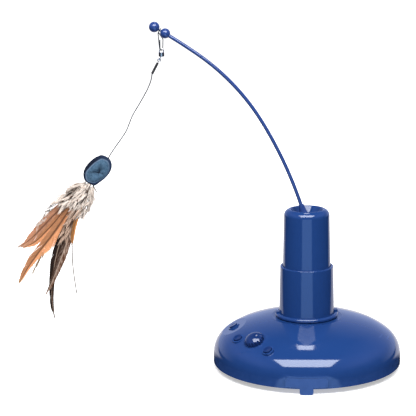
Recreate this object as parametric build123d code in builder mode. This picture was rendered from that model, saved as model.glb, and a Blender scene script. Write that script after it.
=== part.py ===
from build123d import *
import os
from math import acos, asin, cos, degrees, pi, radians, sin, tan

# Electronic cat toy: a round glossy base with a stepped tower that turns a curved wand.
# A stuffed lure with feathers hangs from the wand's tip on a line with a snap swivel.
# Millimetres, Z up. The origin is on the floor, on the tower's axis. The wand leans
# towards -X, and the controls and the front foot face -Y.

os.makedirs("parts", exist_ok=True)

CENTRE_UP = (Align.CENTER, Align.CENTER, Align.MIN)
CENTRE_DOWN = (Align.CENTER, Align.CENTER, Align.MAX)
BACKWARDS = (Align.CENTER, Align.MIN, Align.CENTER)
FORWARDS = (Align.CENTER, Align.MAX, Align.CENTER)

# Base housing
base_radius = 95.0
rim_height = 6.0
crown_base = 14.5
edge_radius = 25.8
edge_turn = 53.1
shoulder_radius = 70.1
shoulder_turn = 18.3
top_radius = 159.8
shell_wall = 3.0
seat_radius = 36.0
seat_step = 0.164
spigot_radius = 25.4
spigot_bore = 23.2
spigot_rise = 7.5

# Bottom pan and battery bay
pan_gap = 0.4
pan_bottom = 5.2
pan_top = 8.5
cell_radius = 13.1
cell_length = 50.0
cell_nub_radius = 3.6
cell_nub_length = 1.5
cell_pitch = 27.4
cell_gap = 0.5
bay_front = -10.6
bay_wall = 2.0
cell_directions = (1, -1, 1)
contact_thickness = 0.4
contact_width = 14.0
contact_gap = 0.1
tag_width = 3.0
tag_reach = 1.5
tag_rise = 5.0
tag_gap = 0.1
spring_length = 4.4
spring_wire = 0.4
spring_radius = 4.6
spring_turns = 2.5
door_thickness = 2.2
door_lap = 3.0
door_gap = 0.3
door_ear_width = 16.0
door_ear_reach = 11.0
tongue_width = 9.0
tongue_reach = 3.0
tongue_thickness = 1.2

# Base screws and the bosses that they enter
boss_radius = 4.0
boss_inset = 16.0
base_screw_radius = 1.4
base_screw_length = 12.0
screw_head_radius = 2.8
screw_head_height = 1.8
screw_slot_width = 0.6
screw_slot_depth = 0.7
screw_seat = 1.4
ear_seat = 1.2
boss_cap = 1.5
thread_gap = 0.05
press_gap = 0.02
tip_gap = 0.4

# Feet: a plate let into the dome's wall, a tab over the rim and a pad on the floor
foot_azimuths = {"front": 268.8, "rear_right": 28.8, "rear_left": 148.8}
foot_plate_width = 41.2
foot_plate_low = 7.3
foot_plate_high = 16.8
foot_recess = 1.2
foot_proud = 0.3
foot_gap = 0.1
foot_tab_width = 13.3
foot_pad_depth = 12.0
foot_corner = 2.6

# Controls: places on the dome are an inset from its rim and an azimuth
dial_place = (21.0, -134.9)
lower_button_place = (13.3, -118.5)
upper_button_place = (16.3, -151.0)
side_button_place = (20.2, 178.8)
facet_depth = 1.4
facet_size = 60.0
dial_radius = 9.7
dial_height = 8.2
dial_skirt = 3.6
dial_lift = 0.5
dial_flutes = 18
flute_radius = 1.3
dial_recess_radius = 11.2
dial_recess_depth = 1.2
dial_hub_radius = 4.3
dial_hollow_radius = 7.6
dial_hollow_height = 3.6
dial_shaft_radius = 3.0
dial_shaft_reach = 5.6
dial_flat = 1.6
pot_radius = 8.0
pot_top = 4.8
pot_bore_depth = 5.4
running_gap = 0.05
button_radius = 4.2
button_gap = 0.35
button_proud = 2.4
button_travel = 0.8
button_dish = 14.0
button_dish_depth = 0.35
button_edge = 0.8
bezel_width = 1.5
bezel_height = 0.9
flange_radius = 5.4
flange_top = 6.5
flange_thickness = 1.0
stem_radius = 1.6
board_depth = 13.0
board_thickness = 1.6
board_width = 60.0
board_low = -14.0
board_high = 12.0
switch_size = 6.2
switch_height = 3.5
switch_well = 1.5
switch_well_gap = 0.3
stem_clearance = 0.5
side_board_depth = 9.1
side_flange_top = 3.2
side_board_size = (16.0, 17.0)
post_radius = 2.6
post_places = [(-14.0, 7.0), (14.0, 7.0)]
side_post_places = [(6.0, 5.7), (-6.0, -5.7)]
side_post_radius = 1.9
board_screw_radius = 0.9
board_screw_length = 5.0
board_screw_head_radius = 1.8
board_screw_head_height = 1.2

# Tower: a lower sleeve with a collar ring and an upper sleeve with a funnel. Rises are from the
# seat on the dome or from the shelf that carries the upper sleeve, and drops from its top.
collar_radius = 29.5
collar_bead = 2.2
collar_rise = 2.3
sleeve_foot_radius = 27.9
sleeve_top_radius = 26.8
sleeve_lap = 10.2
sleeve_wall = 2.0
sleeve_lip = 0.9
sleeve_bore = 24.6
shelf_rise = 42.5
shelf_thickness = 2.0
shelf_bore = 22.4
lug_azimuths = (187.0, 7.0)
lug_width = 6.0
lug_reach = 31.4
lug_rise = 1.5
lug_height = 4.5
cap_foot_radius = 24.3
cap_top_radius = 23.0
cap_side_height = 60.0
cavity_shoulder = 3.0
cap_shoulder_reach = 17.9
cap_height = 66.4
cap_roof = 4.9
funnel_mouth_radius = 15.8
funnel_mouth_drop = 1.1
funnel_floor_radius = 9.0
funnel_depth = 15.9
cap_wall = 2.0
rib_thickness = 1.6

# Drive: a can motor under a two-shaft gearbox, then the output shaft on the tower's axis
motor_radius = 12.2
motor_length = 30.5
motor_drop = 3.0
motor_boss_radius = 3.0
motor_boss_height = 1.4
motor_shaft_radius = 1.0
motor_shaft_depth = 12.0
motor_edge = 1.0
motor_screw_spacing = 16.0
motor_screw_radius = 1.3
motor_screw_length = 6.0
motor_screw_head_radius = 2.4
motor_screw_head_height = 1.3
terminal_size = (2.4, 0.6, 3.6)
terminal_spacing = 14.0
plate_radius = 20.6
plate_thickness = 2.0
pillar_circle = 17.4
pillar_radius = 2.9
pillar_azimuths = (75.0, 180.0, 285.0)
gearbox_screw_radius = 1.1
gearbox_screw_bite = 7.0
gearbox_screw_head_radius = 2.2
gearbox_screw_head_height = 1.5
gear_module = 0.5
pressure_angle = 20.0
pinion_teeth = 12
wheel_teeth = 30
pinion_tip_radius = 3.45
wheel_tip_radius = 7.85
gear_dedendum = 0.63
gear_backlash = 0.06
flank_steps = 4
wheel_width = 2.5
level_pitch = 3.4
first_level_rise = 3.0
axial_gap = 0.4
idler_pin_radius = 1.0
output_shaft_radius = 1.5
output_hub_radius = 3.4
output_hub_length = 1.5
plate_gap = 0.3
shaft_engagement = 3.4
bush_radius = 3.2
bush_length = 4.0
bush_flange_radius = 4.6
bush_flange = 0.8

# Wand: a hub with a tilted nub, a bent rod and two beads with a neck between them
hub_radius = 6.4
hub_height = 4.0
hub_pivot_rise = 0.5
wand_lean = 17.1
nub_root = 3.2
nub_profile = [(5.9, 4.0), (4.5, 9.5), (3.3, 15.0), (2.75, 19.5)]
rod_radius = 1.85
rod_socket_depth = 13.0
rod_straight = 11.4
rod_arcs = [(415.7, 13.64), (225.7, 24.31), (600.0, 3.53)]
neck_bend = 600.0
neck_radius = 1.0
bead_spacing = 12.4
inner_bead_radius = 5.05
tip_bead_radius = 5.3

# Snap and swivel. Places are measured from the middle of the wand's neck.
snap_wire = 0.5
snap_seat_gap = 0.3
snap_bend = 1.2
snap_foot = (1.316, -19.611)
snap_foot_reach = (1.2, 1.6)
snap_top_reach = 2.3
snap_knee = 3.0
snap_knee_reach = (2.6, 3.2)
snap_hip = (2.916, 2.2, -9.111)
snap_clasp_rise = 10.5
snap_clasp_end = (-0.284, -2.9, -17.911)
eye_gap = 0.1
eye_radius = 2.2
eye_wire = 0.55
eye_height = 0.85
barrel_radius = 2.9
barrel_height = 4.4
ball_radius = 1.3
ball_gap = 0.08
ball_inset = 1.0
barrel_edge = 0.5
pin_slot_reach = 2.2
pin_slot_gap = 0.15
pin_radius = 0.5
pin_head_radius = 0.85
pin_head = 0.6
pin_head_gap = 0.1
line_lean = 28.4
ring_collar_radius = 1.15
ring_collar = (3.3, 4.4)
ring_wire = 0.4
ring_radius = 1.5
ring_end = 6.8
loop_wire = 0.3
loop_half_width = 1.0
crimp_start = 8.0
crimp_length = 12.4
crimp_radius = 1.35

# Line, lure and feathers, drawn in the plane of the wand as (x, z) from the middle of its neck
line_radius = 0.45
line_points = [(-15.984, -61.411), (-23.284, -76.711), (-32.384, -94.111)]
line_first_run = 8.5
line_last_run = 19.0
lure_top = (-53.984, -127.211)
lure_lean = 36.6
lure_sections = [
    (0.0, 7.0, 4.6),
    (4.5, 17.5, 8.4),
    (12.5, 24.5, 12.5),
    (20.5, 23.6, 12.5),
    (27.0, 17.0, 9.6),
    (31.0, 11.0, 6.2),
]
lure_corner_share = 0.46
feather_thickness = 0.5
feather_layer = 1.1
quill_radius = 0.35
quill_gap = 0.3
# name: (tip x, tip z, bulge of the left edge, bulge of the right edge), bulges positive towards +X
feathers = {
    "tan_upper": (-149.584, -221.111, -3.5, 6.5),
    "pale": (-136.384, -248.011, -5.5, 2.0),
    "tan_lower": (-143.584, -219.911, 0.5, 9.5),
    "tan_large": (-147.884, -255.511, -5.5, 9.0),
    "streaked": (-121.184, -266.611, -2.5, 7.0),
    "dark": (-113.884, -294.111, -17.5, -9.0),
    "orange": (-92.484, -212.111, -5.2, -0.4),
}
root_spread = 1.1
stalk_tip = (-89.884, -266.211)
plume_lean = 33.0
plume_sections = [
    (0.8, 9.0, 2.2),
    (10.0, 22.0, 6.0),
    (26.0, 36.0, 9.0),
    (40.0, 33.0, 8.0),
    (52.0, 16.0, 3.6),
]
plume_inner = 4.0
plume_corner_share = 0.45

# Leads and the line: the share of a run that a corner's arc may take
corner_share = 0.45
lead_radius = 0.6
motor_lead_pads = (-3.0, 3.0)
battery_lead_pads = (-9.0, 9.0)
pad_height = 9.9
lead_approach = 7.0
motor_lead_drop = 12.4
motor_lead_bend = (-18.0, -22.0, 40.5)
battery_lead_run = 7.0
battery_lead_bend = (10.0, -36.0, 25.0)


def crown_arcs():
    """Centre, radius and first angle of the three arcs of the dome's outer profile."""
    first = (base_radius - edge_radius, crown_base)
    turn = radians(edge_turn)
    second = (first[0] + (edge_radius - shoulder_radius) * cos(turn),
              first[1] + (edge_radius - shoulder_radius) * sin(turn))
    both = radians(edge_turn + shoulder_turn)
    third = (second[0] + (shoulder_radius - top_radius) * cos(both),
             second[1] + (shoulder_radius - top_radius) * sin(both))
    return [(first, edge_radius, 0.0), (second, shoulder_radius, turn), (third, top_radius, both)]


def crown_line(inset, end_radius):
    """Wall and crown of the dome, moved in by inset, from the rim to end_radius."""
    (centre_x, _), radius, start = crown_arcs()[2]
    top_turn = degrees(acos((end_radius - centre_x) / (radius - inset)) - start)
    wall = Line((base_radius - inset, rim_height), (base_radius - inset, crown_base))
    edge = JernArc(wall @ 1, (0, 1), edge_radius - inset, edge_turn)
    shoulder = JernArc(edge @ 1, edge % 1, shoulder_radius - inset, shoulder_turn)
    top = JernArc(shoulder @ 1, shoulder % 1, top_radius - inset, top_turn)
    return wall @ 0, top @ 1


def crown_height(radius):
    """Height of the dome's crown at a radius inside its shoulder."""
    (centre_x, centre_z), arc_radius, _ = crown_arcs()[2]
    return centre_z + (arc_radius ** 2 - (radius - centre_x) ** 2) ** 0.5


def crown_plane(inset, azimuth):
    """Plane on the dome at an inset from its rim: x runs round it, y up the slope and z outwards."""
    radius = base_radius - inset
    for (centre_x, centre_z), arc_radius, start in reversed(crown_arcs()):
        angle = acos((radius - centre_x) / arc_radius)
        if angle >= start:
            break
    height = centre_z + arc_radius * sin(angle)
    turn = radians(azimuth)
    return Plane(
        origin=(radius * cos(turn), radius * sin(turn), height),
        x_dir=(-sin(turn), cos(turn), 0),
        z_dir=(cos(angle) * cos(turn), cos(angle) * sin(turn), sin(angle)),
    )


def lean_vector(lean, side=-1):
    """Unit vector in the wand's plane, lean degrees from straight up, or down where side is 1."""
    return Vector(-sin(radians(lean)), 0, -side * cos(radians(lean)))


def screw(plane, radius, length, head_radius, head_height):
    """Slotted pan-head screw: the head stands on the plane and the shank goes down from it."""
    with Locations(plane):
        Cylinder(head_radius, head_height, align=CENTRE_UP)
        Cylinder(radius, length, align=CENTRE_DOWN)
    with Locations(plane.offset(head_height)):
        Box(2 * head_radius + 1, screw_slot_width, screw_slot_depth, align=CENTRE_DOWN, mode=Mode.SUBTRACT)


def corner_radii(points):
    """Largest smooth radius at each corner of a route, from the shorter run and half the turn."""
    vectors = [Vector(*point) for point in points]
    radii = []
    for before, corner, after in zip(vectors, vectors[1:], vectors[2:]):
        turn = radians((corner - before).get_angle(after - corner))
        radii.append(corner_share * min((corner - before).length, (after - corner).length) / tan(turn / 2))
    return radii


def tube(points, radius):
    """Round tube along straight runs that are joined by tangent arcs."""
    with BuildLine() as route:
        FilletPolyline(*points, radius=corner_radii(points))
    with BuildSketch(Plane(origin=route.line @ 0, z_dir=route.line % 0)) as section:
        Circle(radius)
    sweep(section.sketch, path=route.wire())


def gear_points(teeth, tip_radius, turned, centre_x):
    """Points of an involute gear's outline, with a gap at the line of centres where turned."""
    pitch_radius = gear_module * teeth / 2
    base_circle = pitch_radius * cos(radians(pressure_angle))
    root_radius = pitch_radius - gear_dedendum
    half_pitch = pi / (2 * teeth) - gear_backlash / (2 * pitch_radius)
    involute_start = tan(radians(pressure_angle)) - radians(pressure_angle)
    flank = [(root_radius, base_circle)]
    for step in range(flank_steps + 1):
        radius = base_circle + (tip_radius - base_circle) * step / flank_steps
        flank.append((radius, radius))
    half_widths = []
    for radius, on_curve in flank:
        angle = acos(min(1.0, base_circle / on_curve))
        half_widths.append((radius, half_pitch + involute_start - (tan(angle) - angle)))
    points = []
    for tooth in range(teeth):
        middle = 2 * pi * (tooth + (0.5 if turned else 0)) / teeth
        for side, widths in ((-1, half_widths), (1, reversed(half_widths))):
            for radius, half in widths:
                angle = middle + side * half
                points.append((centre_x + radius * cos(angle), radius * sin(angle)))
    return points


def toothed_disc(teeth, tip_radius, turned, centre_x, bottom, height):
    """Solid gear blank with its teeth, added to the part in hand."""
    with BuildSketch(Plane.XY.offset(bottom)) as outline:
        with BuildLine():
            Polyline(*gear_points(teeth, tip_radius, turned, centre_x), close=True)
        make_face()
    extrude(outline.sketch, amount=height)


def wall_sector(azimuth, width, inner, outer, low, high):
    """Slab that follows the dome's round wall, width wide along the wall, added to the part in hand."""
    span = degrees(2 * asin(width / 2 / base_radius))
    start = radians(azimuth - span / 2)
    side_plane = Plane((0, 0, 0), (cos(start), sin(start), 0), (sin(start), -cos(start), 0))
    with BuildSketch(side_plane) as section:
        with Locations(((inner + outer) / 2, (low + high) / 2)):
            Rectangle(outer - inner, high - low)
    revolve(section.sketch, axis=Axis.Z, revolution_arc=span)


def foot_cover(azimuth, grow):
    """Plate and tab of a foot where they lie against the wall, larger by grow all round."""
    inner = base_radius - foot_recess - grow
    outer = base_radius + foot_proud + grow
    with BuildPart() as cover:
        wall_sector(azimuth, foot_plate_width + 2 * grow, inner, outer, foot_plate_low - grow,
                    foot_plate_high + grow)
        fillet(cover.edges().filter_by(GeomType.LINE).group_by(Axis.Z)[-1], foot_corner)
        wall_sector(azimuth, foot_tab_width + 2 * grow, inner, outer, -grow, foot_plate_low + grow)
    return cover.part


def level_height(level):
    """Underside of the wheel on a level of the gearbox."""
    return motor_face + first_level_rise + level * level_pitch


def biarc(start, start_direction, end, end_direction):
    """Two tangent arcs between two points of a space curve, added to the line in hand."""
    chord = end - start
    both = start_direction + end_direction
    along = chord.dot(both)
    span = 4 - both.dot(both)
    reach = (-along + (along * along + span * chord.dot(chord)) ** 0.5) / span
    first_corner = start + start_direction * reach
    second_corner = end - end_direction * reach
    middle = (first_corner + second_corner) * 0.5
    TangentArc(start, middle, tangent=start_direction)
    TangentArc(middle, end, tangent=second_corner - first_corner)


def contact_coil(centre_x, start_y, side):
    """Battery spring: a wire coil along Y from start_y, growing towards side."""
    steps = int(round(spring_turns * 4))
    rise = side * (spring_length - 2 * spring_wire) / (2 * pi * spring_turns)
    points = []
    for step in range(steps + 1):
        angle = step * pi / 2
        place = Vector(
            centre_x + spring_radius * cos(angle),
            start_y + side * spring_wire + rise * angle,
            cell_centre + spring_radius * sin(angle),
        )
        heading = Vector(-spring_radius * sin(angle), rise, spring_radius * cos(angle)).normalized()
        points.append((place, heading))
    with BuildLine() as coil:
        for (place, heading), (next_place, next_heading) in zip(points, points[1:]):
            biarc(place, heading, next_place, next_heading)
    with BuildSketch(Plane(origin=coil.line @ 0, z_dir=coil.line % 0)) as section:
        Circle(spring_wire)
    sweep(section.sketch, path=coil.wire())


def from_neck(x, z, y=0):
    """Point of a hanging part from its place beside the middle of the wand's neck."""
    return Vector(neck_centre.X + x, y, neck_centre.Z + z)


# Heights up the tower
seat_height = crown_height(seat_radius) + seat_step
shelf_height = seat_height + shelf_rise
collar_height = seat_height + collar_rise
sleeve_top = shelf_height + sleeve_lap
cap_foot = shelf_height + shelf_thickness
cap_top = cap_foot + cap_height
funnel_mouth_height = cap_top - funnel_mouth_drop
funnel_floor = cap_top - funnel_depth
cavity_top = cap_top - cap_roof
motor_face = shelf_height - motor_drop

# Places worked out from the sizes above
boss_circle = base_radius - boss_inset
dial_plane = crown_plane(*dial_place)
dial_seat = dial_plane.offset(-dial_recess_depth)
lower_button_plane = Plane(
    origin=crown_plane(*lower_button_place).origin, x_dir=dial_plane.x_dir, z_dir=dial_plane.z_dir
)
upper_button_plane = Plane(
    origin=crown_plane(*upper_button_place).origin, x_dir=dial_plane.x_dir, z_dir=dial_plane.z_dir
)
side_button_plane = crown_plane(*side_button_place).offset(-facet_depth)
door_top = pan_bottom + door_thickness
cell_centre = door_top + cell_gap + cell_radius
bay_half_width = cell_pitch + cell_radius + cell_gap
bay_ceiling = cell_centre + cell_radius + cell_gap
bay_length = cell_length + spring_length + 2 * contact_thickness + contact_gap
bay_back = bay_front + bay_length
bay_middle = (bay_front + bay_back) / 2
door_half_width = bay_half_width + door_lap
door_front = bay_front - door_lap
door_back = bay_back + door_lap
ear_screw_y = door_front - door_ear_reach / 2
tag_places = [(side * cell_pitch, bay_front, cell_centre + tag_rise) for side in (-1, 1)]
tongue_places = [(side * bay_half_width / 2, door_back, door_top) for side in (-1, 1)]
ear_boss_top = door_top - ear_seat + base_screw_length + boss_cap
boss_planes = [
    Plane(origin=(boss_circle * cos(radians(a)), boss_circle * sin(radians(a)), pan_top), z_dir=(0, 0, -1))
    for a in foot_azimuths.values()
]
pinion_pitch = gear_module * pinion_teeth / 2
wheel_pitch = gear_module * wheel_teeth / 2
idler_x = pinion_pitch + wheel_pitch
cap_plate_bottom = level_height(3) + wheel_width + output_hub_length + plate_gap
cap_plate_top = cap_plate_bottom + plate_thickness
pillars = [(pillar_circle * cos(radians(a)), pillar_circle * sin(radians(a))) for a in pillar_azimuths]
motor_screws_at = [(0, side * motor_screw_spacing / 2) for side in (-1, 1)]
motor_pinion_top = level_height(0) + wheel_width + plate_gap
hub_bottom = funnel_floor + bush_flange + plate_gap

# Wand path and the places on it
lean_up = lean_vector(wand_lean)
hub_centre = Vector(0, 0, hub_bottom + hub_pivot_rise)
rod_start = hub_centre + lean_up * (nub_profile[-1][1] - rod_socket_depth)
straight_end = hub_centre + lean_up * rod_straight
with BuildLine(Plane.XZ) as rod_path:
    stretch = Line((rod_start.X, rod_start.Z), (straight_end.X, straight_end.Z))
    for arc_radius, arc_turn in rod_arcs:
        stretch = JernArc(stretch @ 1, stretch % 1, arc_radius, arc_turn)
inner_centre = rod_path.line @ 1
inner_heading = rod_path.line % 1
with BuildLine(Plane.XZ) as neck_path:
    JernArc(
        (inner_centre.X, inner_centre.Z),
        (inner_heading.X, inner_heading.Z),
        neck_bend,
        degrees(bead_spacing / neck_bend),
    )
tip_centre = neck_path.line @ 1
neck_centre = neck_path.line @ 0.5
neck_axis = (tip_centre - inner_centre).normalized()
neck_down = Vector(-neck_axis.Z, 0, neck_axis.X)

# Swivel, line and lure places
line_down = lean_vector(line_lean, side=1)
snap_base = from_neck(*snap_foot)
eye_centre = snap_base + Vector(0, 0, snap_wire + eye_gap + eye_wire - eye_radius)
barrel_top = eye_centre.Z - eye_height
barrel_bottom = barrel_top - barrel_height
ball_centre = Vector(snap_base.X, 0, barrel_bottom + ball_inset)
swivel_plane = Plane(origin=ball_centre, x_dir=(0, 1, 0), z_dir=line_down)
crimp_top = ball_centre + line_down * crimp_start
line_start = crimp_top + line_down * crimp_length
lure_down = lean_vector(lure_lean, side=1)
lure_across = Vector(-lure_down.Z, 0, lure_down.X)
lure_head = from_neck(*lure_top)
lure_end = lure_head + lure_down * lure_sections[-1][0]


# Dome: the shell with its seat, spigot, bosses, facet, dial recess and button bezels
with BuildPart() as cavity:
    with BuildSketch(Plane.XZ):
        with BuildLine():
            wall_foot, crown_end = crown_line(shell_wall, spigot_bore / 2)
            Polyline(crown_end, (spigot_bore / 2, rim_height), wall_foot)
        make_face()
    revolve(axis=Axis.Z)
    with Locations(*boss_planes):
        Cylinder(boss_radius, seat_height, align=CENTRE_DOWN, mode=Mode.SUBTRACT)
    with Locations(dial_plane.offset(-board_depth)):
        with Locations(*post_places):
            Cylinder(post_radius, board_depth, align=CENTRE_UP, mode=Mode.SUBTRACT)
    with Locations(side_button_plane.offset(-side_board_depth)):
        with Locations(*side_post_places):
            Cylinder(side_post_radius, side_board_depth, align=CENTRE_UP, mode=Mode.SUBTRACT)

foot_recesses = [foot_cover(azimuth, foot_gap) for azimuth in foot_azimuths.values()]

with BuildPart() as base_dome:
    with BuildSketch(Plane.XZ):
        with BuildLine():
            wall_foot, crown_end = crown_line(0, seat_radius)
            Polyline(
                crown_end,
                (seat_radius, seat_height),
                (spigot_radius, seat_height),
                (spigot_radius, seat_height + spigot_rise),
                (spigot_bore, seat_height + spigot_rise),
                (spigot_bore, rim_height),
                wall_foot,
            )
        make_face()
    revolve(axis=Axis.Z)
    for plane in (lower_button_plane, upper_button_plane):
        with Locations(plane.offset(-shell_wall / 2)):
            Cylinder(button_radius + button_gap + bezel_width, shell_wall / 2 + bezel_height, align=CENTRE_UP)
    add(cavity.part, mode=Mode.SUBTRACT)
    with Locations(side_button_plane):
        Box(facet_size, facet_size, 4 * facet_depth, align=CENTRE_UP, mode=Mode.SUBTRACT)
    with Locations(side_button_plane.offset(-facet_depth / 2)):
        Cylinder(button_radius + button_gap + bezel_width, facet_depth / 2 + bezel_height, align=CENTRE_UP)
    with Locations(dial_plane.offset(-dial_recess_depth)):
        Cylinder(dial_recess_radius, 3 * dial_recess_depth, align=CENTRE_UP, mode=Mode.SUBTRACT)
    with Locations(dial_plane):
        Cylinder(dial_shaft_radius + 2 * button_gap, 4 * shell_wall, mode=Mode.SUBTRACT)
    for plane in (lower_button_plane, upper_button_plane, side_button_plane):
        with Locations(plane):
            Cylinder(button_radius + button_gap, 4 * shell_wall, mode=Mode.SUBTRACT)
    with Locations(*boss_planes):
        Cylinder(
            base_screw_radius + thread_gap, base_screw_length + 1, align=CENTRE_DOWN, mode=Mode.SUBTRACT
        )
    with Locations(dial_plane.offset(-board_depth)):
        with Locations(*post_places):
            Cylinder(
                board_screw_radius + thread_gap, board_screw_length, align=CENTRE_UP, mode=Mode.SUBTRACT
            )
    with Locations(side_button_plane.offset(-side_board_depth)):
        with Locations(*side_post_places):
            Cylinder(
                board_screw_radius + thread_gap, board_screw_length, align=CENTRE_UP, mode=Mode.SUBTRACT
            )
    for recess in foot_recesses:
        add(recess, mode=Mode.SUBTRACT)
base_dome.part.label = "base_dome"
export_step(base_dome.part, "parts/base_dome.step")

# Feet
for place, azimuth in foot_azimuths.items():
    cover = foot_cover(azimuth, 0)
    with BuildPart() as foot:
        add(cover)
        wall_sector(
            azimuth, foot_tab_width, base_radius - foot_pad_depth, base_radius + foot_proud, 0, pan_bottom
        )
        fillet(foot.edges().filter_by(GeomType.LINE).group_by(Axis.Z)[0], foot_corner)
    foot.part.label = f"foot_{place}"
    export_step(foot.part, f"parts/foot_{place}.step")


# Bottom pan with the battery bay, the door's seat and the boss for the door's screw
with BuildPart() as bottom_pan:
    with Locations((0, 0, pan_bottom)):
        Cylinder(base_radius - shell_wall - pan_gap, pan_top - pan_bottom, align=CENTRE_UP)
    with Locations((0, bay_middle, pan_top)):
        Box(
            2 * (bay_half_width + bay_wall),
            bay_length + 2 * bay_wall,
            bay_ceiling + bay_wall - pan_top,
            align=CENTRE_UP,
        )
    with Locations((0, ear_screw_y, pan_top)):
        Cylinder(boss_radius, ear_boss_top - pan_top, align=CENTRE_UP)
    with Locations((0, bay_middle, pan_bottom)):
        Box(2 * bay_half_width, bay_length, bay_ceiling - pan_bottom, align=CENTRE_UP, mode=Mode.SUBTRACT)
        Box(
            2 * (door_half_width + door_gap),
            door_back - door_front + 2 * door_gap,
            door_thickness,
            align=CENTRE_UP,
            mode=Mode.SUBTRACT,
        )
    with Locations((0, door_front - door_ear_reach - door_gap, pan_bottom)):
        Box(
            door_ear_width + 2 * door_gap,
            door_ear_reach + door_gap,
            door_thickness,
            align=(Align.CENTER, Align.MIN, Align.MIN),
            mode=Mode.SUBTRACT,
        )
    with Locations(*tongue_places):
        Box(
            tongue_width + 2 * door_gap,
            tongue_reach + 2 * door_gap,
            tongue_thickness + door_gap,
            align=(Align.CENTER, Align.MIN, Align.MAX),
            mode=Mode.SUBTRACT,
        )
    with Locations(*tag_places):
        Box(
            tag_width + 2 * tag_gap,
            2 * bay_wall + tag_gap,
            contact_thickness + 2 * tag_gap,
            align=FORWARDS,
            mode=Mode.SUBTRACT,
        )
    with Locations((0, ear_screw_y, pan_bottom)):
        Cylinder(
            base_screw_radius + thread_gap,
            ear_boss_top - pan_bottom - boss_cap / 2,
            align=CENTRE_UP,
            mode=Mode.SUBTRACT,
        )
    with Locations(*boss_planes):
        Cylinder(base_screw_radius + 2 * thread_gap, 4 * pan_top, mode=Mode.SUBTRACT)
    with Locations(*[plane.offset(screw_seat) for plane in boss_planes]):
        Cylinder(screw_head_radius + door_gap, pan_top, align=CENTRE_UP, mode=Mode.SUBTRACT)
bottom_pan.part.label = "bottom_pan"
export_step(bottom_pan.part, "parts/bottom_pan.step")

# Battery door, its tongues under the pan and its ear with a screw seat
with BuildPart() as battery_door:
    with Locations((0, (door_front + door_back) / 2, pan_bottom)):
        Box(2 * door_half_width, door_back - door_front, door_thickness, align=CENTRE_UP)
    with Locations((0, door_front, pan_bottom)):
        Box(door_ear_width, door_ear_reach, door_thickness, align=(Align.CENTER, Align.MAX, Align.MIN))
    with Locations(*tongue_places):
        Box(tongue_width, tongue_reach, tongue_thickness, align=(Align.CENTER, Align.MIN, Align.MAX))
    with Locations((0, ear_screw_y, pan_bottom)):
        Cylinder(base_screw_radius + 2 * thread_gap, 4 * door_thickness, mode=Mode.SUBTRACT)
    with Locations((0, ear_screw_y, door_top - ear_seat)):
        Cylinder(screw_head_radius + door_gap, door_thickness, align=CENTRE_DOWN, mode=Mode.SUBTRACT)
battery_door.part.label = "battery_door"
export_step(battery_door.part, "parts/battery_door.step")

# Screws of the base: three through the pan into the dome and one through the door's ear
with BuildPart() as base_screws:
    for plane in boss_planes:
        screw(plane.offset(screw_seat), base_screw_radius, base_screw_length, screw_head_radius,
              screw_head_height)
    screw(Plane(origin=(0, ear_screw_y, door_top - ear_seat), z_dir=(0, 0, -1)), base_screw_radius,
          base_screw_length, screw_head_radius, screw_head_height)
base_screws.part.label = "base_screws"
export_step(base_screws.part, "parts/base_screws.step")

# Battery cells, side by side and head to tail: a direction of 1 puts the nub at the back
spring_ends = []
for name, column, direction in zip(("left", "middle", "right"), (-1, 0, 1), cell_directions):
    centre_x = column * cell_pitch
    near_end = bay_front + contact_thickness
    far_end = bay_back - contact_thickness
    nub_end, spring_end = (far_end, near_end) if direction > 0 else (near_end, far_end)
    spring_ends.append((centre_x, spring_end, direction))
    with BuildPart() as cell:
        with Locations(Plane(origin=(centre_x, nub_end, cell_centre), z_dir=(0, direction, 0))):
            Cylinder(cell_nub_radius, cell_length, align=CENTRE_DOWN)
        shoulder_end = nub_end - direction * cell_nub_length
        with Locations(Plane(origin=(centre_x, shoulder_end, cell_centre), z_dir=(0, direction, 0))):
            Cylinder(cell_radius, cell_length - cell_nub_length, align=CENTRE_DOWN)
    cell.part.label = f"cell_{name}"
    export_step(cell.part, f"parts/cell_{name}.step")

# Contact plates at both ends of the cells, two of them with a tag through the bay's front wall
with BuildPart() as contact_plates:
    for column in (-1, 0, 1):
        with Locations((column * cell_pitch, bay_front, cell_centre)):
            Box(contact_width, contact_thickness, contact_width, align=BACKWARDS)
        with Locations((column * cell_pitch, bay_back, cell_centre)):
            Box(contact_width, contact_thickness, contact_width, align=FORWARDS)
    with Locations(*tag_places):
        Box(tag_width, bay_wall + tag_reach, contact_thickness, align=FORWARDS)
contact_plates.part.label = "contact_plates"
export_step(contact_plates.part, "parts/contact_plates.step")

with BuildPart() as contact_springs:
    for centre_x, spring_end, direction in spring_ends:
        contact_coil(centre_x, spring_end, direction)
contact_springs.part.label = "contact_springs"
export_step(contact_springs.part, "parts/contact_springs.step")


def board(plane, width, low, high, screw_places):
    """Circuit board with its screw holes, hanging under the plane that its top face lies on."""
    with Locations(plane):
        with Locations((0, (low + high) / 2)):
            Box(width, high - low, board_thickness, align=CENTRE_DOWN)
        with Locations(*screw_places):
            Cylinder(board_screw_radius + 2 * thread_gap, 4 * board_thickness, mode=Mode.SUBTRACT)


def push_button(plane, flange_below, switch_below):
    """Button cap with its flange and stem; both depths are measured down from its plane."""
    stem_end = switch_below + stem_clearance
    with Locations(plane.offset(button_proud)):
        Cylinder(button_radius, button_proud + flange_below + flange_thickness / 2, align=CENTRE_DOWN)
    with Locations(plane.offset(button_proud - button_dish_depth + button_dish)):
        Sphere(button_dish, mode=Mode.SUBTRACT)
    with Locations(plane.offset(-flange_below)):
        Cylinder(flange_radius, flange_thickness, align=CENTRE_DOWN)
        Cylinder(stem_radius, stem_end - flange_below, align=CENTRE_DOWN)


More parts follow.
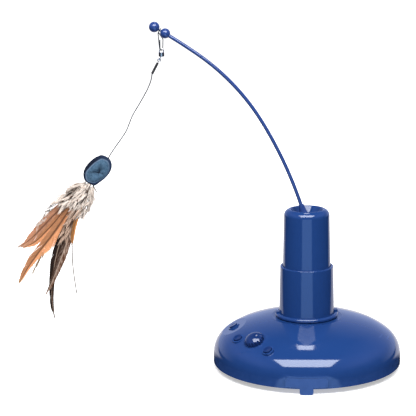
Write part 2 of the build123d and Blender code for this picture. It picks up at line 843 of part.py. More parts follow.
def tact_switch(plane):
    """Switch body on a board whose top face lies on the plane, with a well for the button's stem."""
    with Locations(plane):
        Box(switch_size, switch_size, switch_height, align=CENTRE_UP)
    with Locations(plane.offset(switch_height)):
        Cylinder(stem_radius + switch_well_gap, switch_well, align=CENTRE_DOWN, mode=Mode.SUBTRACT)


# Control boards: the main one under the dial and two buttons, and a small one under the side button
board_plane = dial_plane.offset(-board_depth)
side_board_plane = side_button_plane.offset(-side_board_depth)
with BuildPart() as control_board:
    board(board_plane, board_width, board_low, board_high, post_places)
control_board.part.label = "control_board"
export_step(control_board.part, "parts/control_board.step")

with BuildPart() as side_board:
    side_width, side_length = side_board_size
    board(side_board_plane, side_width, -side_length / 2, side_length / 2, side_post_places)
side_board.part.label = "side_board"
export_step(side_board.part, "parts/side_board.step")

with BuildPart() as board_screws:
    for top_plane, places in ((board_plane, post_places), (side_board_plane, side_post_places)):
        for place_x, place_y in places:
            origin = top_plane.offset(-board_thickness).from_local_coords((place_x, place_y, 0))
            screw(
                Plane(origin=origin, x_dir=top_plane.x_dir, z_dir=top_plane.z_dir * -1),
                board_screw_radius,
                board_thickness + board_screw_length - tip_gap,
                board_screw_head_radius,
                board_screw_head_height,
            )
board_screws.part.label = "board_screws"
export_step(board_screws.part, "parts/board_screws.step")

# Buttons and the switches under them
for name, plane in (("lower", lower_button_plane), ("upper", upper_button_plane)):
    button_drop = board_plane.to_local_coords(plane.origin).Z
    with BuildPart() as button:
        push_button(plane, button_drop - board_depth + flange_top, button_drop - switch_height)
        rim = button.edges().filter_by(GeomType.CIRCLE)
        fillet(rim.sort_by(lambda edge: plane.to_local_coords(edge.center()).Z)[-1], button_edge)
    button.part.label = f"button_{name}"
    export_step(button.part, f"parts/button_{name}.step")

with BuildPart() as button_side:
    push_button(side_button_plane, side_flange_top, side_board_depth - switch_height)
    rim = button_side.edges().filter_by(GeomType.CIRCLE)
    fillet(rim.sort_by(lambda edge: side_button_plane.to_local_coords(edge.center()).Z)[-1], button_edge)
button_side.part.label = "button_side"
export_step(button_side.part, "parts/button_side.step")

with BuildPart() as tact_switches:
    for plane in (lower_button_plane, upper_button_plane):
        tact_switch(
            Plane(
                origin=plane.offset(-board_plane.to_local_coords(plane.origin).Z).origin,
                x_dir=plane.x_dir,
                z_dir=plane.z_dir,
            )
        )
    tact_switch(side_board_plane)
tact_switches.part.label = "tact_switches"
export_step(tact_switches.part, "parts/tact_switches.step")

# Dial: the potentiometer on the board, its flatted shaft and the fluted knob
with BuildPart() as dial_pot:
    with Locations(dial_plane.offset(-pot_top)):
        Cylinder(pot_radius, board_depth - pot_top, align=CENTRE_DOWN)
        Cylinder(dial_shaft_radius + running_gap, pot_bore_depth, align=CENTRE_DOWN, mode=Mode.SUBTRACT)
dial_pot.part.label = "dial_pot"
export_step(dial_pot.part, "parts/dial_pot.step")


def flatted_rod(plane, grow, length):
    """Dial shaft with its flat, larger by grow, going down from the plane."""
    with BuildSketch(plane) as section:
        Circle(dial_shaft_radius + grow)
        with Locations((0, -dial_flat - grow)):
            Rectangle(
                4 * dial_shaft_radius,
                2 * dial_shaft_radius,
                align=(Align.CENTER, Align.MAX),
                mode=Mode.SUBTRACT,
            )
    return extrude(section.sketch, amount=-length, mode=Mode.PRIVATE)


dial_shaft_top = dial_plane.offset(dial_shaft_reach)
shaft_in_knob = dial_shaft_reach - dial_lift + dial_recess_depth
with BuildPart() as dial_shaft:
    with Locations(dial_plane.offset(dial_lift - dial_recess_depth)):
        Cylinder(
            dial_shaft_radius,
            dial_lift - dial_recess_depth + pot_top + pot_bore_depth - tip_gap,
            align=CENTRE_DOWN,
        )
    add(flatted_rod(dial_shaft_top, 0, shaft_in_knob))
dial_shaft.part.label = "dial_shaft"
export_step(dial_shaft.part, "parts/dial_shaft.step")

dial_drop = dial_height - dial_skirt
dial_crown_radius = (dial_radius ** 2 + dial_drop ** 2) / (2 * dial_drop)
dial_foot = dial_seat.offset(dial_lift)
with BuildPart() as dial_knob:
    with BuildSketch(dial_foot):
        Circle(dial_radius)
        with PolarLocations(dial_radius, dial_flutes):
            Circle(flute_radius, mode=Mode.SUBTRACT)
    extrude(amount=dial_height)
    with Locations(dial_foot.offset(dial_height - dial_crown_radius)):
        Sphere(dial_crown_radius, mode=Mode.INTERSECT)
    with BuildSketch(dial_foot):
        Circle(dial_hollow_radius)
        Circle(dial_hub_radius, mode=Mode.SUBTRACT)
    extrude(amount=dial_hollow_height, mode=Mode.SUBTRACT)
    add(flatted_rod(dial_shaft_top.offset(tip_gap), press_gap, shaft_in_knob + tip_gap), mode=Mode.SUBTRACT)
dial_knob.part.label = "dial_knob"
export_step(dial_knob.part, "parts/dial_knob.step")

# Lower sleeve of the tower, with its collar ring, twist lugs and the shelf that carries the upper sleeve
with BuildPart() as tower_lower:
    with BuildSketch(Plane.XZ):
        with BuildLine():
            Polyline(
                (sleeve_foot_radius - sleeve_wall, seat_height),
                (sleeve_foot_radius, seat_height),
                (sleeve_foot_radius, collar_height + collar_bead),
                (sleeve_top_radius, sleeve_top),
                (sleeve_bore, sleeve_top),
                (sleeve_bore, shelf_height + shelf_thickness),
                (shelf_bore, shelf_height + shelf_thickness),
                (shelf_bore, shelf_height),
                (sleeve_bore, shelf_height),
                close=True,
            )
        make_face()
    revolve(axis=Axis.Z)
    fillet(tower_lower.edges().group_by(Axis.Z)[-1].sort_by(SortBy.RADIUS)[-1], sleeve_lip)
    with BuildSketch(Plane.XZ):
        with Locations((collar_radius, collar_height)):
            Circle(collar_bead)
    revolve(axis=Axis.Z)
    for azimuth in lug_azimuths:
        with Locations(Plane(origin=(0, 0, seat_height + lug_rise)).rotated((0, 0, azimuth))):
            with Locations((sleeve_foot_radius - sleeve_wall / 2, 0)):
                Box(
                    lug_reach - sleeve_foot_radius + sleeve_wall / 2,
                    lug_width,
                    lug_height,
                    align=(Align.MIN, Align.CENTER, Align.MIN),
                )
tower_lower.part.label = "tower_lower"
export_step(tower_lower.part, "parts/tower_lower.step")

# Upper sleeve with its shoulder, funnel, and three ribbed bosses for the gearbox screws
funnel_slope = Vector(
    funnel_mouth_radius - funnel_floor_radius, funnel_mouth_height - funnel_floor
).normalized()
funnel_back = Vector(funnel_floor_radius, funnel_floor) + Vector(funnel_slope.Y, -funnel_slope.X) * cap_wall
funnel_back_top = funnel_back + funnel_slope * ((cavity_top - funnel_back.Y) / funnel_slope.Y)
funnel_back_low = funnel_back + funnel_slope * ((funnel_floor - cap_wall - funnel_back.Y) / funnel_slope.Y)
cap_inner_top = cap_top_radius - cap_wall
with BuildPart() as cap_cavity:
    with BuildSketch(Plane.XZ):
        with BuildLine():
            Polyline(
                (0, funnel_floor - cap_wall),
                (funnel_back_low.X, funnel_back_low.Y),
                (funnel_back_top.X, funnel_back_top.Y),
                (cap_inner_top - cavity_shoulder / 2, cavity_top),
                (cap_inner_top, cavity_top - cavity_shoulder),
                (cap_foot_radius - cap_wall, cap_foot),
                (0, cap_foot),
                close=True,
            )
        make_face()
    revolve(axis=Axis.Z)
    for (pillar_x, pillar_y), azimuth in zip(pillars, pillar_azimuths):
        with Locations((pillar_x, pillar_y, cap_plate_top)):
            Cylinder(pillar_radius, cap_top - cap_plate_top, align=CENTRE_UP, mode=Mode.SUBTRACT)
        with Locations(Plane(origin=(pillar_x, pillar_y, cap_plate_top)).rotated((0, 0, azimuth))):
            Box(
                cap_foot_radius,
                rib_thickness,
                cap_top - cap_plate_top,
                align=(Align.MIN, Align.CENTER, Align.MIN),
                mode=Mode.SUBTRACT,
            )

with BuildPart() as tower_upper:
    with BuildSketch(Plane.XZ):
        with BuildLine():
            side = Line((cap_foot_radius, cap_foot), (cap_top_radius, cap_foot + cap_side_height))
            shoulder = TangentArc(side @ 1, (cap_shoulder_reach, cap_top), tangent=side % 1)
            lip = TangentArc(shoulder @ 1, (funnel_mouth_radius, funnel_mouth_height), tangent=shoulder % 1)
            Polyline(
                lip @ 1,
                (funnel_floor_radius, funnel_floor),
                (0, funnel_floor),
                (0, cap_foot),
                side @ 0,
            )
        make_face()
    revolve(axis=Axis.Z)
    add(cap_cavity.part, mode=Mode.SUBTRACT)
    with Locations((0, 0, funnel_floor)):
        Cylinder(bush_radius + press_gap, 4 * cap_wall, mode=Mode.SUBTRACT)
    with Locations(*[(x, y, cap_plate_top) for x, y in pillars]):
        Cylinder(
            gearbox_screw_radius + thread_gap,
            gearbox_screw_bite + tip_gap,
            align=CENTRE_UP,
            mode=Mode.SUBTRACT,
        )
tower_upper.part.label = "tower_upper"
export_step(tower_upper.part, "parts/tower_upper.step")

# Gearbox frame: the lower plate with its pillars, the cap plate, long screws and the idler pin
with BuildPart() as gearbox_base:
    with Locations((0, 0, motor_face)):
        Cylinder(plate_radius, plate_thickness, align=CENTRE_UP)
    with Locations(*[(x, y, motor_face) for x, y in pillars]):
        Cylinder(pillar_radius, cap_plate_bottom - motor_face, align=CENTRE_UP)
        Cylinder(
            gearbox_screw_radius + 2 * thread_gap,
            cap_plate_bottom - motor_face,
            align=CENTRE_UP,
            mode=Mode.SUBTRACT,
        )
    with Locations((0, 0, motor_face)):
        Cylinder(motor_boss_radius + plate_gap, 4 * plate_thickness, mode=Mode.SUBTRACT)
        with Locations(*motor_screws_at):
            Cylinder(motor_screw_radius + 2 * thread_gap, 4 * plate_thickness, mode=Mode.SUBTRACT)
        with Locations((idler_x, 0)):
            Cylinder(idler_pin_radius + press_gap, 4 * plate_thickness, mode=Mode.SUBTRACT)
gearbox_base.part.label = "gearbox_base"
export_step(gearbox_base.part, "parts/gearbox_base.step")

with BuildPart() as gearbox_cap:
    with Locations((0, 0, cap_plate_bottom)):
        Cylinder(plate_radius, plate_thickness, align=CENTRE_UP)
        Cylinder(output_shaft_radius + running_gap, 4 * plate_thickness, mode=Mode.SUBTRACT)
        with Locations((idler_x, 0)):
            Cylinder(idler_pin_radius + press_gap, 4 * plate_thickness, mode=Mode.SUBTRACT)
        with Locations(*pillars):
            Cylinder(gearbox_screw_radius + 2 * thread_gap, 4 * plate_thickness, mode=Mode.SUBTRACT)
gearbox_cap.part.label = "gearbox_cap"
export_step(gearbox_cap.part, "parts/gearbox_cap.step")

with BuildPart() as gearbox_screws:
    for pillar_x, pillar_y in pillars:
        screw(
            Plane(origin=(pillar_x, pillar_y, motor_face), z_dir=(0, 0, -1)),
            gearbox_screw_radius,
            cap_plate_top - motor_face + gearbox_screw_bite,
            gearbox_screw_head_radius,
            gearbox_screw_head_height,
        )
gearbox_screws.part.label = "gearbox_screws"
export_step(gearbox_screws.part, "parts/gearbox_screws.step")

with BuildPart() as idler_pin:
    with Locations((idler_x, 0, motor_face)):
        Cylinder(idler_pin_radius, cap_plate_top - motor_face, align=CENTRE_UP)
idler_pin.part.label = "idler_pin"
export_step(idler_pin.part, "parts/idler_pin.step")

# Motor, its screws, shaft and pinion
with BuildPart() as motor_can:
    with Locations((0, 0, motor_face)):
        Cylinder(motor_radius, motor_length, align=CENTRE_DOWN)
    fillet(motor_can.edges().filter_by(GeomType.CIRCLE).group_by(Axis.Z)[0], motor_edge)
    with Locations((0, 0, motor_face)):
        Cylinder(motor_boss_radius, motor_boss_height, align=CENTRE_UP)
        with Locations((0, 0, motor_boss_height)):
            Cylinder(
                motor_shaft_radius + running_gap,
                motor_boss_height + motor_shaft_depth + tip_gap,
                align=CENTRE_DOWN,
                mode=Mode.SUBTRACT,
            )
        with Locations(*motor_screws_at):
            Cylinder(
                motor_screw_radius + thread_gap,
                motor_screw_length - plate_thickness + tip_gap,
                align=CENTRE_DOWN,
                mode=Mode.SUBTRACT,
            )
    with Locations(*[(side * terminal_spacing / 2, 0, motor_face - motor_length) for side in (-1, 1)]):
        Box(*terminal_size, align=CENTRE_DOWN)
motor_can.part.label = "motor_can"
export_step(motor_can.part, "parts/motor_can.step")

with BuildPart() as motor_screws:
    for screw_x, screw_y in motor_screws_at:
        screw(
            Plane.XY.offset(motor_face + plate_thickness).move(Location((screw_x, screw_y, 0))),
            motor_screw_radius,
            motor_screw_length,
            motor_screw_head_radius,
            motor_screw_head_height,
        )
motor_screws.part.label = "motor_screws"
export_step(motor_screws.part, "parts/motor_screws.step")

with BuildPart() as motor_shaft:
    with Locations((0, 0, motor_face - motor_shaft_depth)):
        Cylinder(
            motor_shaft_radius, motor_pinion_top - press_gap - motor_face + motor_shaft_depth, align=CENTRE_UP
        )
motor_shaft.part.label = "motor_shaft"
export_step(motor_shaft.part, "parts/motor_shaft.step")

with BuildPart() as motor_pinion:
    toothed_disc(
        pinion_teeth, pinion_tip_radius, False, 0, level_height(0) - plate_gap, wheel_width + 2 * plate_gap
    )
    Cylinder(motor_shaft_radius + press_gap, 4 * sleeve_top, mode=Mode.SUBTRACT)
motor_pinion.part.label = "motor_pinion"
export_step(motor_pinion.part, "parts/motor_pinion.step")

# Idler gears: a wheel under a pinion, on the idler pin and on the output shaft in turn
idlers = {
    "low": (0, idler_x, idler_pin_radius),
    "mid": (1, 0, output_shaft_radius),
    "high": (2, idler_x, idler_pin_radius),
}
for name, (level, centre_x, shaft_radius) in idlers.items():
    with BuildPart() as idler_gear:
        toothed_disc(wheel_teeth, wheel_tip_radius, True, centre_x, level_height(level), wheel_width)
        toothed_disc(
            pinion_teeth,
            pinion_tip_radius,
            False,
            centre_x,
            level_height(level) + wheel_width,
            2 * level_pitch - axial_gap - wheel_width,
        )
        with Locations((centre_x, 0, level_height(level))):
            Cylinder(shaft_radius + running_gap, 8 * level_pitch, mode=Mode.SUBTRACT)
    idler_gear.part.label = f"idler_gear_{name}"
    export_step(idler_gear.part, f"parts/idler_gear_{name}.step")

with BuildPart() as output_gear:
    toothed_disc(wheel_teeth, wheel_tip_radius, True, 0, level_height(3), wheel_width)
    with Locations((0, 0, level_height(3))):
        Cylinder(output_hub_radius, wheel_width + output_hub_length, align=CENTRE_UP)
        Cylinder(output_shaft_radius + press_gap, 8 * level_pitch, mode=Mode.SUBTRACT)
output_gear.part.label = "output_gear"
export_step(output_gear.part, "parts/output_gear.step")

with BuildPart() as output_shaft:
    with Locations((0, 0, hub_bottom + shaft_engagement)):
        Cylinder(
            output_shaft_radius,
            hub_bottom + shaft_engagement - motor_pinion_top - plate_gap,
            align=CENTRE_DOWN,
        )
output_shaft.part.label = "output_shaft"
export_step(output_shaft.part, "parts/output_shaft.step")

with BuildPart() as shaft_bush:
    with Locations((0, 0, funnel_floor)):
        Cylinder(bush_radius, bush_length, align=CENTRE_DOWN)
        Cylinder(bush_flange_radius, bush_flange, align=CENTRE_UP)
        Cylinder(output_shaft_radius + running_gap, 4 * bush_length, mode=Mode.SUBTRACT)
shaft_bush.part.label = "shaft_bush"
export_step(shaft_bush.part, "parts/shaft_bush.step")


def swept_round(path, radius, mode=Mode.ADD):
    """Round bar along a path, added to the part in hand or cut from it."""
    with BuildSketch(Plane(origin=path.line @ 0, z_dir=path.line % 0)) as section:
        Circle(radius)
    sweep(section.sketch, path=path.wire(), mode=mode)


# Wand: the hub with its tilted nub, the rod, and the two beads
nub_plane = Plane(
    origin=hub_centre,
    x_dir=(cos(radians(wand_lean)), 0, sin(radians(wand_lean))),
    z_dir=(0, -1, 0),
)
with BuildPart() as wand_hub:
    with Locations((0, 0, hub_bottom)):
        Cylinder(hub_radius, hub_height, align=CENTRE_UP)
    with BuildSketch(nub_plane) as nub_half:
        with BuildLine():
            flare = Spline(*nub_profile)
            Polyline(
                flare @ 1,
                (0, nub_profile[-1][1]),
                (0, nub_root),
                (nub_profile[0][0], nub_root),
                flare @ 0,
            )
        make_face()
    revolve(nub_half.sketch, axis=Axis(hub_centre, lean_up))
    swept_round(rod_path, rod_radius + press_gap, Mode.SUBTRACT)
    with Locations((0, 0, hub_bottom)):
        Cylinder(
            output_shaft_radius + press_gap, shaft_engagement + tip_gap, align=CENTRE_UP, mode=Mode.SUBTRACT
        )
wand_hub.part.label = "wand_hub"
export_step(wand_hub.part, "parts/wand_hub.step")

with BuildPart() as wand_rod:
    swept_round(rod_path, rod_radius)
    swept_round(neck_path, neck_radius)
wand_rod.part.label = "wand_rod"
export_step(wand_rod.part, "parts/wand_rod.step")

with BuildPart() as bead_inner:
    with Locations(inner_centre):
        Sphere(inner_bead_radius)
    swept_round(rod_path, rod_radius + press_gap, Mode.SUBTRACT)
    swept_round(neck_path, neck_radius + press_gap, Mode.SUBTRACT)
bead_inner.part.label = "bead_inner"
export_step(bead_inner.part, "parts/bead_inner.step")

with BuildPart() as bead_tip:
    with Locations(tip_centre):
        Sphere(tip_bead_radius)
    swept_round(neck_path, neck_radius + press_gap, Mode.SUBTRACT)
bead_tip.part.label = "bead_tip"
export_step(bead_tip.part, "parts/bead_tip.step")

# Snap: one bent wire over the neck, through the swivel's eye and back beside itself at the clasp
foot_x, foot_z = snap_base.X, snap_base.Z
foot_half_x, foot_half_y = snap_foot_reach
snap_over = neck_centre - neck_down * (neck_radius + snap_wire + snap_seat_gap)
snap_under = neck_centre + neck_down * snap_knee
across = Vector(0, 1, 0)
snap_points = [
    Vector(foot_x - foot_half_x, -foot_half_y, foot_z + snap_clasp_rise),
    Vector(foot_x - foot_half_x, -foot_half_y, foot_z),
    Vector(foot_x + foot_half_x, foot_half_y, foot_z),
    from_neck(snap_hip[0], snap_hip[2], snap_hip[1]),
    snap_under + across * snap_knee_reach[1],
    snap_over + across * snap_top_reach,
    snap_over - across * snap_top_reach,
    snap_under - across * snap_knee_reach[0],
    from_neck(snap_clasp_end[0], snap_clasp_end[2], snap_clasp_end[1]),
]
with BuildPart() as snap:
    with BuildLine() as snap_path:
        FilletPolyline(*snap_points, radius=snap_bend)
    with BuildSketch(Plane(origin=snap_path.line @ 0, z_dir=snap_path.line % 0)):
        Circle(snap_wire)
    sweep()
snap.part.label = "snap"
export_step(snap.part, "parts/snap.step")

# Swivel: a barrel with an eye and a ball socket, the headed pin, and the ring that turns on the pin
with BuildPart() as swivel_barrel:
    with Locations((foot_x, 0, barrel_bottom)):
        Cylinder(barrel_radius, barrel_height, align=CENTRE_UP)
    fillet(swivel_barrel.edges().filter_by(GeomType.CIRCLE), barrel_edge)
    with Locations(Plane(origin=eye_centre, z_dir=(0, 1, 0))):
        Torus(eye_radius, eye_wire)
    with Locations(ball_centre):
        Sphere(ball_radius + ball_gap, mode=Mode.SUBTRACT)
        Box(
            2 * pin_slot_reach,
            2 * (pin_radius + pin_slot_gap),
            2 * ball_inset,
            align=CENTRE_DOWN,
            mode=Mode.SUBTRACT,
        )
swivel_barrel.part.label = "swivel_barrel"
export_step(swivel_barrel.part, "parts/swivel_barrel.step")

pin_length = ring_collar[1] + pin_head_gap
with BuildPart() as swivel_pin:
    with Locations(swivel_plane):
        Sphere(ball_radius)
        Cylinder(pin_radius, pin_length, align=CENTRE_UP)
    with Locations(swivel_plane.offset(pin_length)):
        Cylinder(pin_head_radius, pin_head, align=CENTRE_UP)
swivel_pin.part.label = "swivel_pin"
export_step(swivel_pin.part, "parts/swivel_pin.step")

with BuildPart() as swivel_ring:
    with Locations(swivel_plane.offset(ring_collar[0])):
        Cylinder(ring_collar_radius, ring_collar[1] - ring_collar[0], align=CENTRE_UP)
    with Locations(Plane(origin=ball_centre + line_down * (ring_end - ring_radius), z_dir=(0, 1, 0))):
        Torus(ring_radius, ring_wire)
    with Locations(swivel_plane.offset(ring_collar[0])):
        Cylinder(pin_radius + running_gap, pin_length, align=CENTRE_UP, mode=Mode.SUBTRACT)
    with Locations(swivel_plane.offset(ring_collar[1])):
        Cylinder(
            pin_head_radius + pin_head_gap,
            pin_head + 2 * pin_head_gap,
            align=CENTRE_UP,
            mode=Mode.SUBTRACT,
        )
swivel_ring.part.label = "swivel_ring"
export_step(swivel_ring.part, "parts/swivel_ring.step")

# Crimp: the sleeve that closes the line's loop, with the loop through the ring
loop_plane = Plane(origin=ball_centre, x_dir=(0, 1, 0), z_dir=Vector(0, 1, 0).cross(line_down))
with BuildPart() as line_crimp:
    with Locations(swivel_plane.offset(crimp_start)):
        Cylinder(crimp_radius, crimp_length, align=CENTRE_UP)
    with BuildLine(loop_plane) as loop_path:
        first_leg = Line((-loop_half_width, crimp_start + loop_half_width), (-loop_half_width, ring_end))
        ThreePointArc(first_leg @ 1, (0, ring_end - loop_half_width), (loop_half_width, ring_end))
        Line((loop_half_width, ring_end), (loop_half_width, crimp_start + loop_half_width))
    with BuildSketch(Plane(origin=loop_path.line @ 0, z_dir=loop_path.line % 0)):
        Circle(loop_wire)
    sweep()
line_crimp.part.label = "line_crimp"
export_step(line_crimp.part, "parts/line_crimp.step")

# Line, in straight runs joined by tangent arcs
line_route = [
    line_start,
    line_start + line_down * line_first_run,
    *[from_neck(x, z) for x, z in line_points],
    lure_head - lure_down * line_last_run,
    lure_head,
]
with BuildPart() as lure_line:
    tube(line_route, line_radius)
lure_line.part.label = "lure_line"
export_step(lure_line.part, "parts/lure_line.step")
print("line bend radii", [round(radius, 1) for radius in corner_radii(line_route)])

# Stuffed lure: a padded body that swells from its top and tapers to the feathers
with BuildPart() as lure_body:
    for distance, width, depth in lure_sections:
        with BuildSketch(Plane(origin=lure_head + lure_down * distance, x_dir=lure_across, z_dir=lure_down)):
            RectangleRounded(width, depth, depth * lure_corner_share)
    loft()
lure_body.part.label = "lure_body"
export_step(lure_body.part, "parts/lure_body.step")

# Feathers: a thin vane on each side of a quill, layered from back to front
for layer, (name, (tip_x, tip_z, left_bulge, right_bulge)) in enumerate(feathers.items()):
    middle_layer = (len(feathers) - 1) / 2
    layer_plane = Plane((0, (middle_layer - layer) * feather_layer, 0), (1, 0, 0), (0, -1, 0))
    root = lure_end + lure_down * quill_gap + lure_across * (layer - middle_layer) * root_spread
    start = (root.X, root.Z)
    tip = from_neck(tip_x, tip_z)
    tip = (tip.X, tip.Z)
    with BuildPart() as feather:
        with BuildSketch(layer_plane):
            with BuildLine():
                SagittaArc(start, tip, left_bulge)
                SagittaArc(start, tip, right_bulge)
            make_face()
        extrude(amount=feather_thickness / 2, both=True)
        with BuildLine(layer_plane) as quill:
            SagittaArc(start, tip, (left_bulge + right_bulge) / 2)
            if name == "orange":
                stalk_end = from_neck(*stalk_tip)
                Line(tip, (stalk_end.X, stalk_end.Z))
        swept_round(quill, quill_radius)
    feather.part.label = f"feather_{name}"
    export_step(feather.part, f"parts/feather_{name}.step")

# Down at the feathers' root, in a front half and a back half
plume_down = lean_vector(plume_lean, side=1)
plume_across = Vector(-plume_down.Z, 0, plume_down.X)
with BuildPart() as down_plume:
    for side in (-1, 1):
        plume_planes = []
        for distance, width, depth in plume_sections:
            middle = lure_end + plume_down * distance + Vector(0, side * (plume_inner + depth / 2), 0)
            with BuildSketch(Plane(origin=middle, x_dir=plume_across, z_dir=plume_down)) as slice_face:
                RectangleRounded(width, depth, depth * plume_corner_share)
            plume_planes.append(slice_face.sketch)
        loft(plume_planes)
down_plume.part.label = "down_plume"
export_step(down_plume.part, "parts/down_plume.step")

# Leads: from the motor's terminals and from the battery tags to the underside of the control board
pad_plane = board_plane.offset(-board_thickness)
with BuildPart() as motor_leads:
    for side, pad_x in zip((-1, 1), motor_lead_pads):
        terminal_tip = Vector(side * terminal_spacing / 2, 0, motor_face - motor_length - terminal_size[2])
        tube(
            [
                terminal_tip,
                terminal_tip - Vector(0, 0, motor_lead_drop),
                Vector(*motor_lead_bend) + pad_plane.x_dir * pad_x,
                pad_plane.from_local_coords((pad_x, pad_height, -lead_approach)),
                pad_plane.from_local_coords((pad_x, pad_height, 0)),
            ],
            lead_radius,
        )
motor_leads.part.label = "motor_leads"
export_step(motor_leads.part, "parts/motor_leads.step")

with BuildPart() as battery_leads:
    for (tag_x, _, tag_z), pad_x in zip(tag_places, battery_lead_pads):
        tag_end = Vector(tag_x, bay_front - bay_wall - tag_reach, tag_z)
        bends = [Vector(*battery_lead_bend)] if tag_x > 0 else []
        tube(
            [
                tag_end,
                tag_end - Vector(0, battery_lead_run, 0),
                *bends,
                pad_plane.from_local_coords((pad_x, pad_height, -lead_approach)),
                pad_plane.from_local_coords((pad_x, pad_height, 0)),
            ],
            lead_radius,
        )
battery_leads.part.label = "battery_leads"
export_step(battery_leads.part, "parts/battery_leads.step")
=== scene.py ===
"""Electronic cat toy: its finishes, its hanging lure of cloth and feathers, and a plain studio.

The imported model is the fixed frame. Lengths are metres, the floor is at z 0, the tower stands on
the origin, the wand leans towards -X and the controls face -Y.
"""

import logging
import math
from dataclasses import dataclass, field
from enum import Enum

import bpy
import numpy as np
from mathutils import Matrix, Vector


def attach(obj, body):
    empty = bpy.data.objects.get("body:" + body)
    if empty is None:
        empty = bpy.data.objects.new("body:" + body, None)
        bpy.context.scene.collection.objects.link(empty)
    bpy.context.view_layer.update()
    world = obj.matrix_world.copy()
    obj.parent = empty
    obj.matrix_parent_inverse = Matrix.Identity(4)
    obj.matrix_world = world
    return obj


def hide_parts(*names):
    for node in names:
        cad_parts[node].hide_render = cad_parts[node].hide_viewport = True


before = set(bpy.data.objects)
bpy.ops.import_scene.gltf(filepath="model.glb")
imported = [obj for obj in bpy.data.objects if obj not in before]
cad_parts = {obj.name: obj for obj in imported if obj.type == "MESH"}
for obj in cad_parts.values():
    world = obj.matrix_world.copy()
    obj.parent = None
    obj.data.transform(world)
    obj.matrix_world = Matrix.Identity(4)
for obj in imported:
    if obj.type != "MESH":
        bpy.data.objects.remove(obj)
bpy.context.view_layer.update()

Colour = tuple[float, float, float]
Pair = tuple[float, float]
Row = tuple[float, float, float]
Faces = list[tuple[int, ...]]
Carried = dict[str, np.ndarray]
Socket = bpy.types.NodeSocket

MM = 0.001
BLACK: Colour = (0.0, 0.0, 0.0)
WHITE: Colour = (1.0, 1.0, 1.0)
AWAY = np.array((0.0, 1.0, 0.0))
LOG = logging.getLogger("cat_toy")
NODES: dict[str, bpy.types.Object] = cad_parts

# Places of the hanging parts, in millimetres, as the solids have them
NECK = Vector((-144.316, 0.0, 343.311))
BALL = Vector((-143.0, 0.0, 318.4))
LINE_LEAN = math.radians(28.4)
CRIMP_START = 8.0
CRIMP_LENGTH = 12.4
RING_END = 6.8
LINE_POINTS: list[Pair] = [
    (-9.0, -47.6), (-10.8, -52.9), (-14.3, -60.4), (-21.8, -73.1), (-28.2, -83.0),
    (-31.8, -91.3), (-34.7, -98.9), (-39.1, -105.7), (-45.9, -114.9), (-51.7, -123.1),
]
LURE_TOP: Pair = (-53.984, -127.211)
LURE_LEAN = math.radians(36.6)
LAYER_STEP = 1.1
MIDDLE_LAYER = 3


def hanging(place: Pair) -> Vector:
    """Point of a hanging part, in millimetres, from its place beside and below the neck."""
    return Vector((NECK.x + place[0], 0.0, NECK.z + place[1]))


def leaning_down(lean: float) -> Vector:
    """Unit vector in the wand's plane that points down and towards the lure by an angle."""
    return Vector((-math.sin(lean), 0.0, -math.cos(lean)))


LINE_DOWN = leaning_down(LINE_LEAN)
LURE_DOWN = leaning_down(LURE_LEAN)
LURE_ACROSS = Vector((-LURE_DOWN.z, 0.0, LURE_DOWN.x))
LINE_START = BALL + LINE_DOWN * (CRIMP_START + CRIMP_LENGTH)
LURE_HEAD = hanging(LURE_TOP)


# Shader building


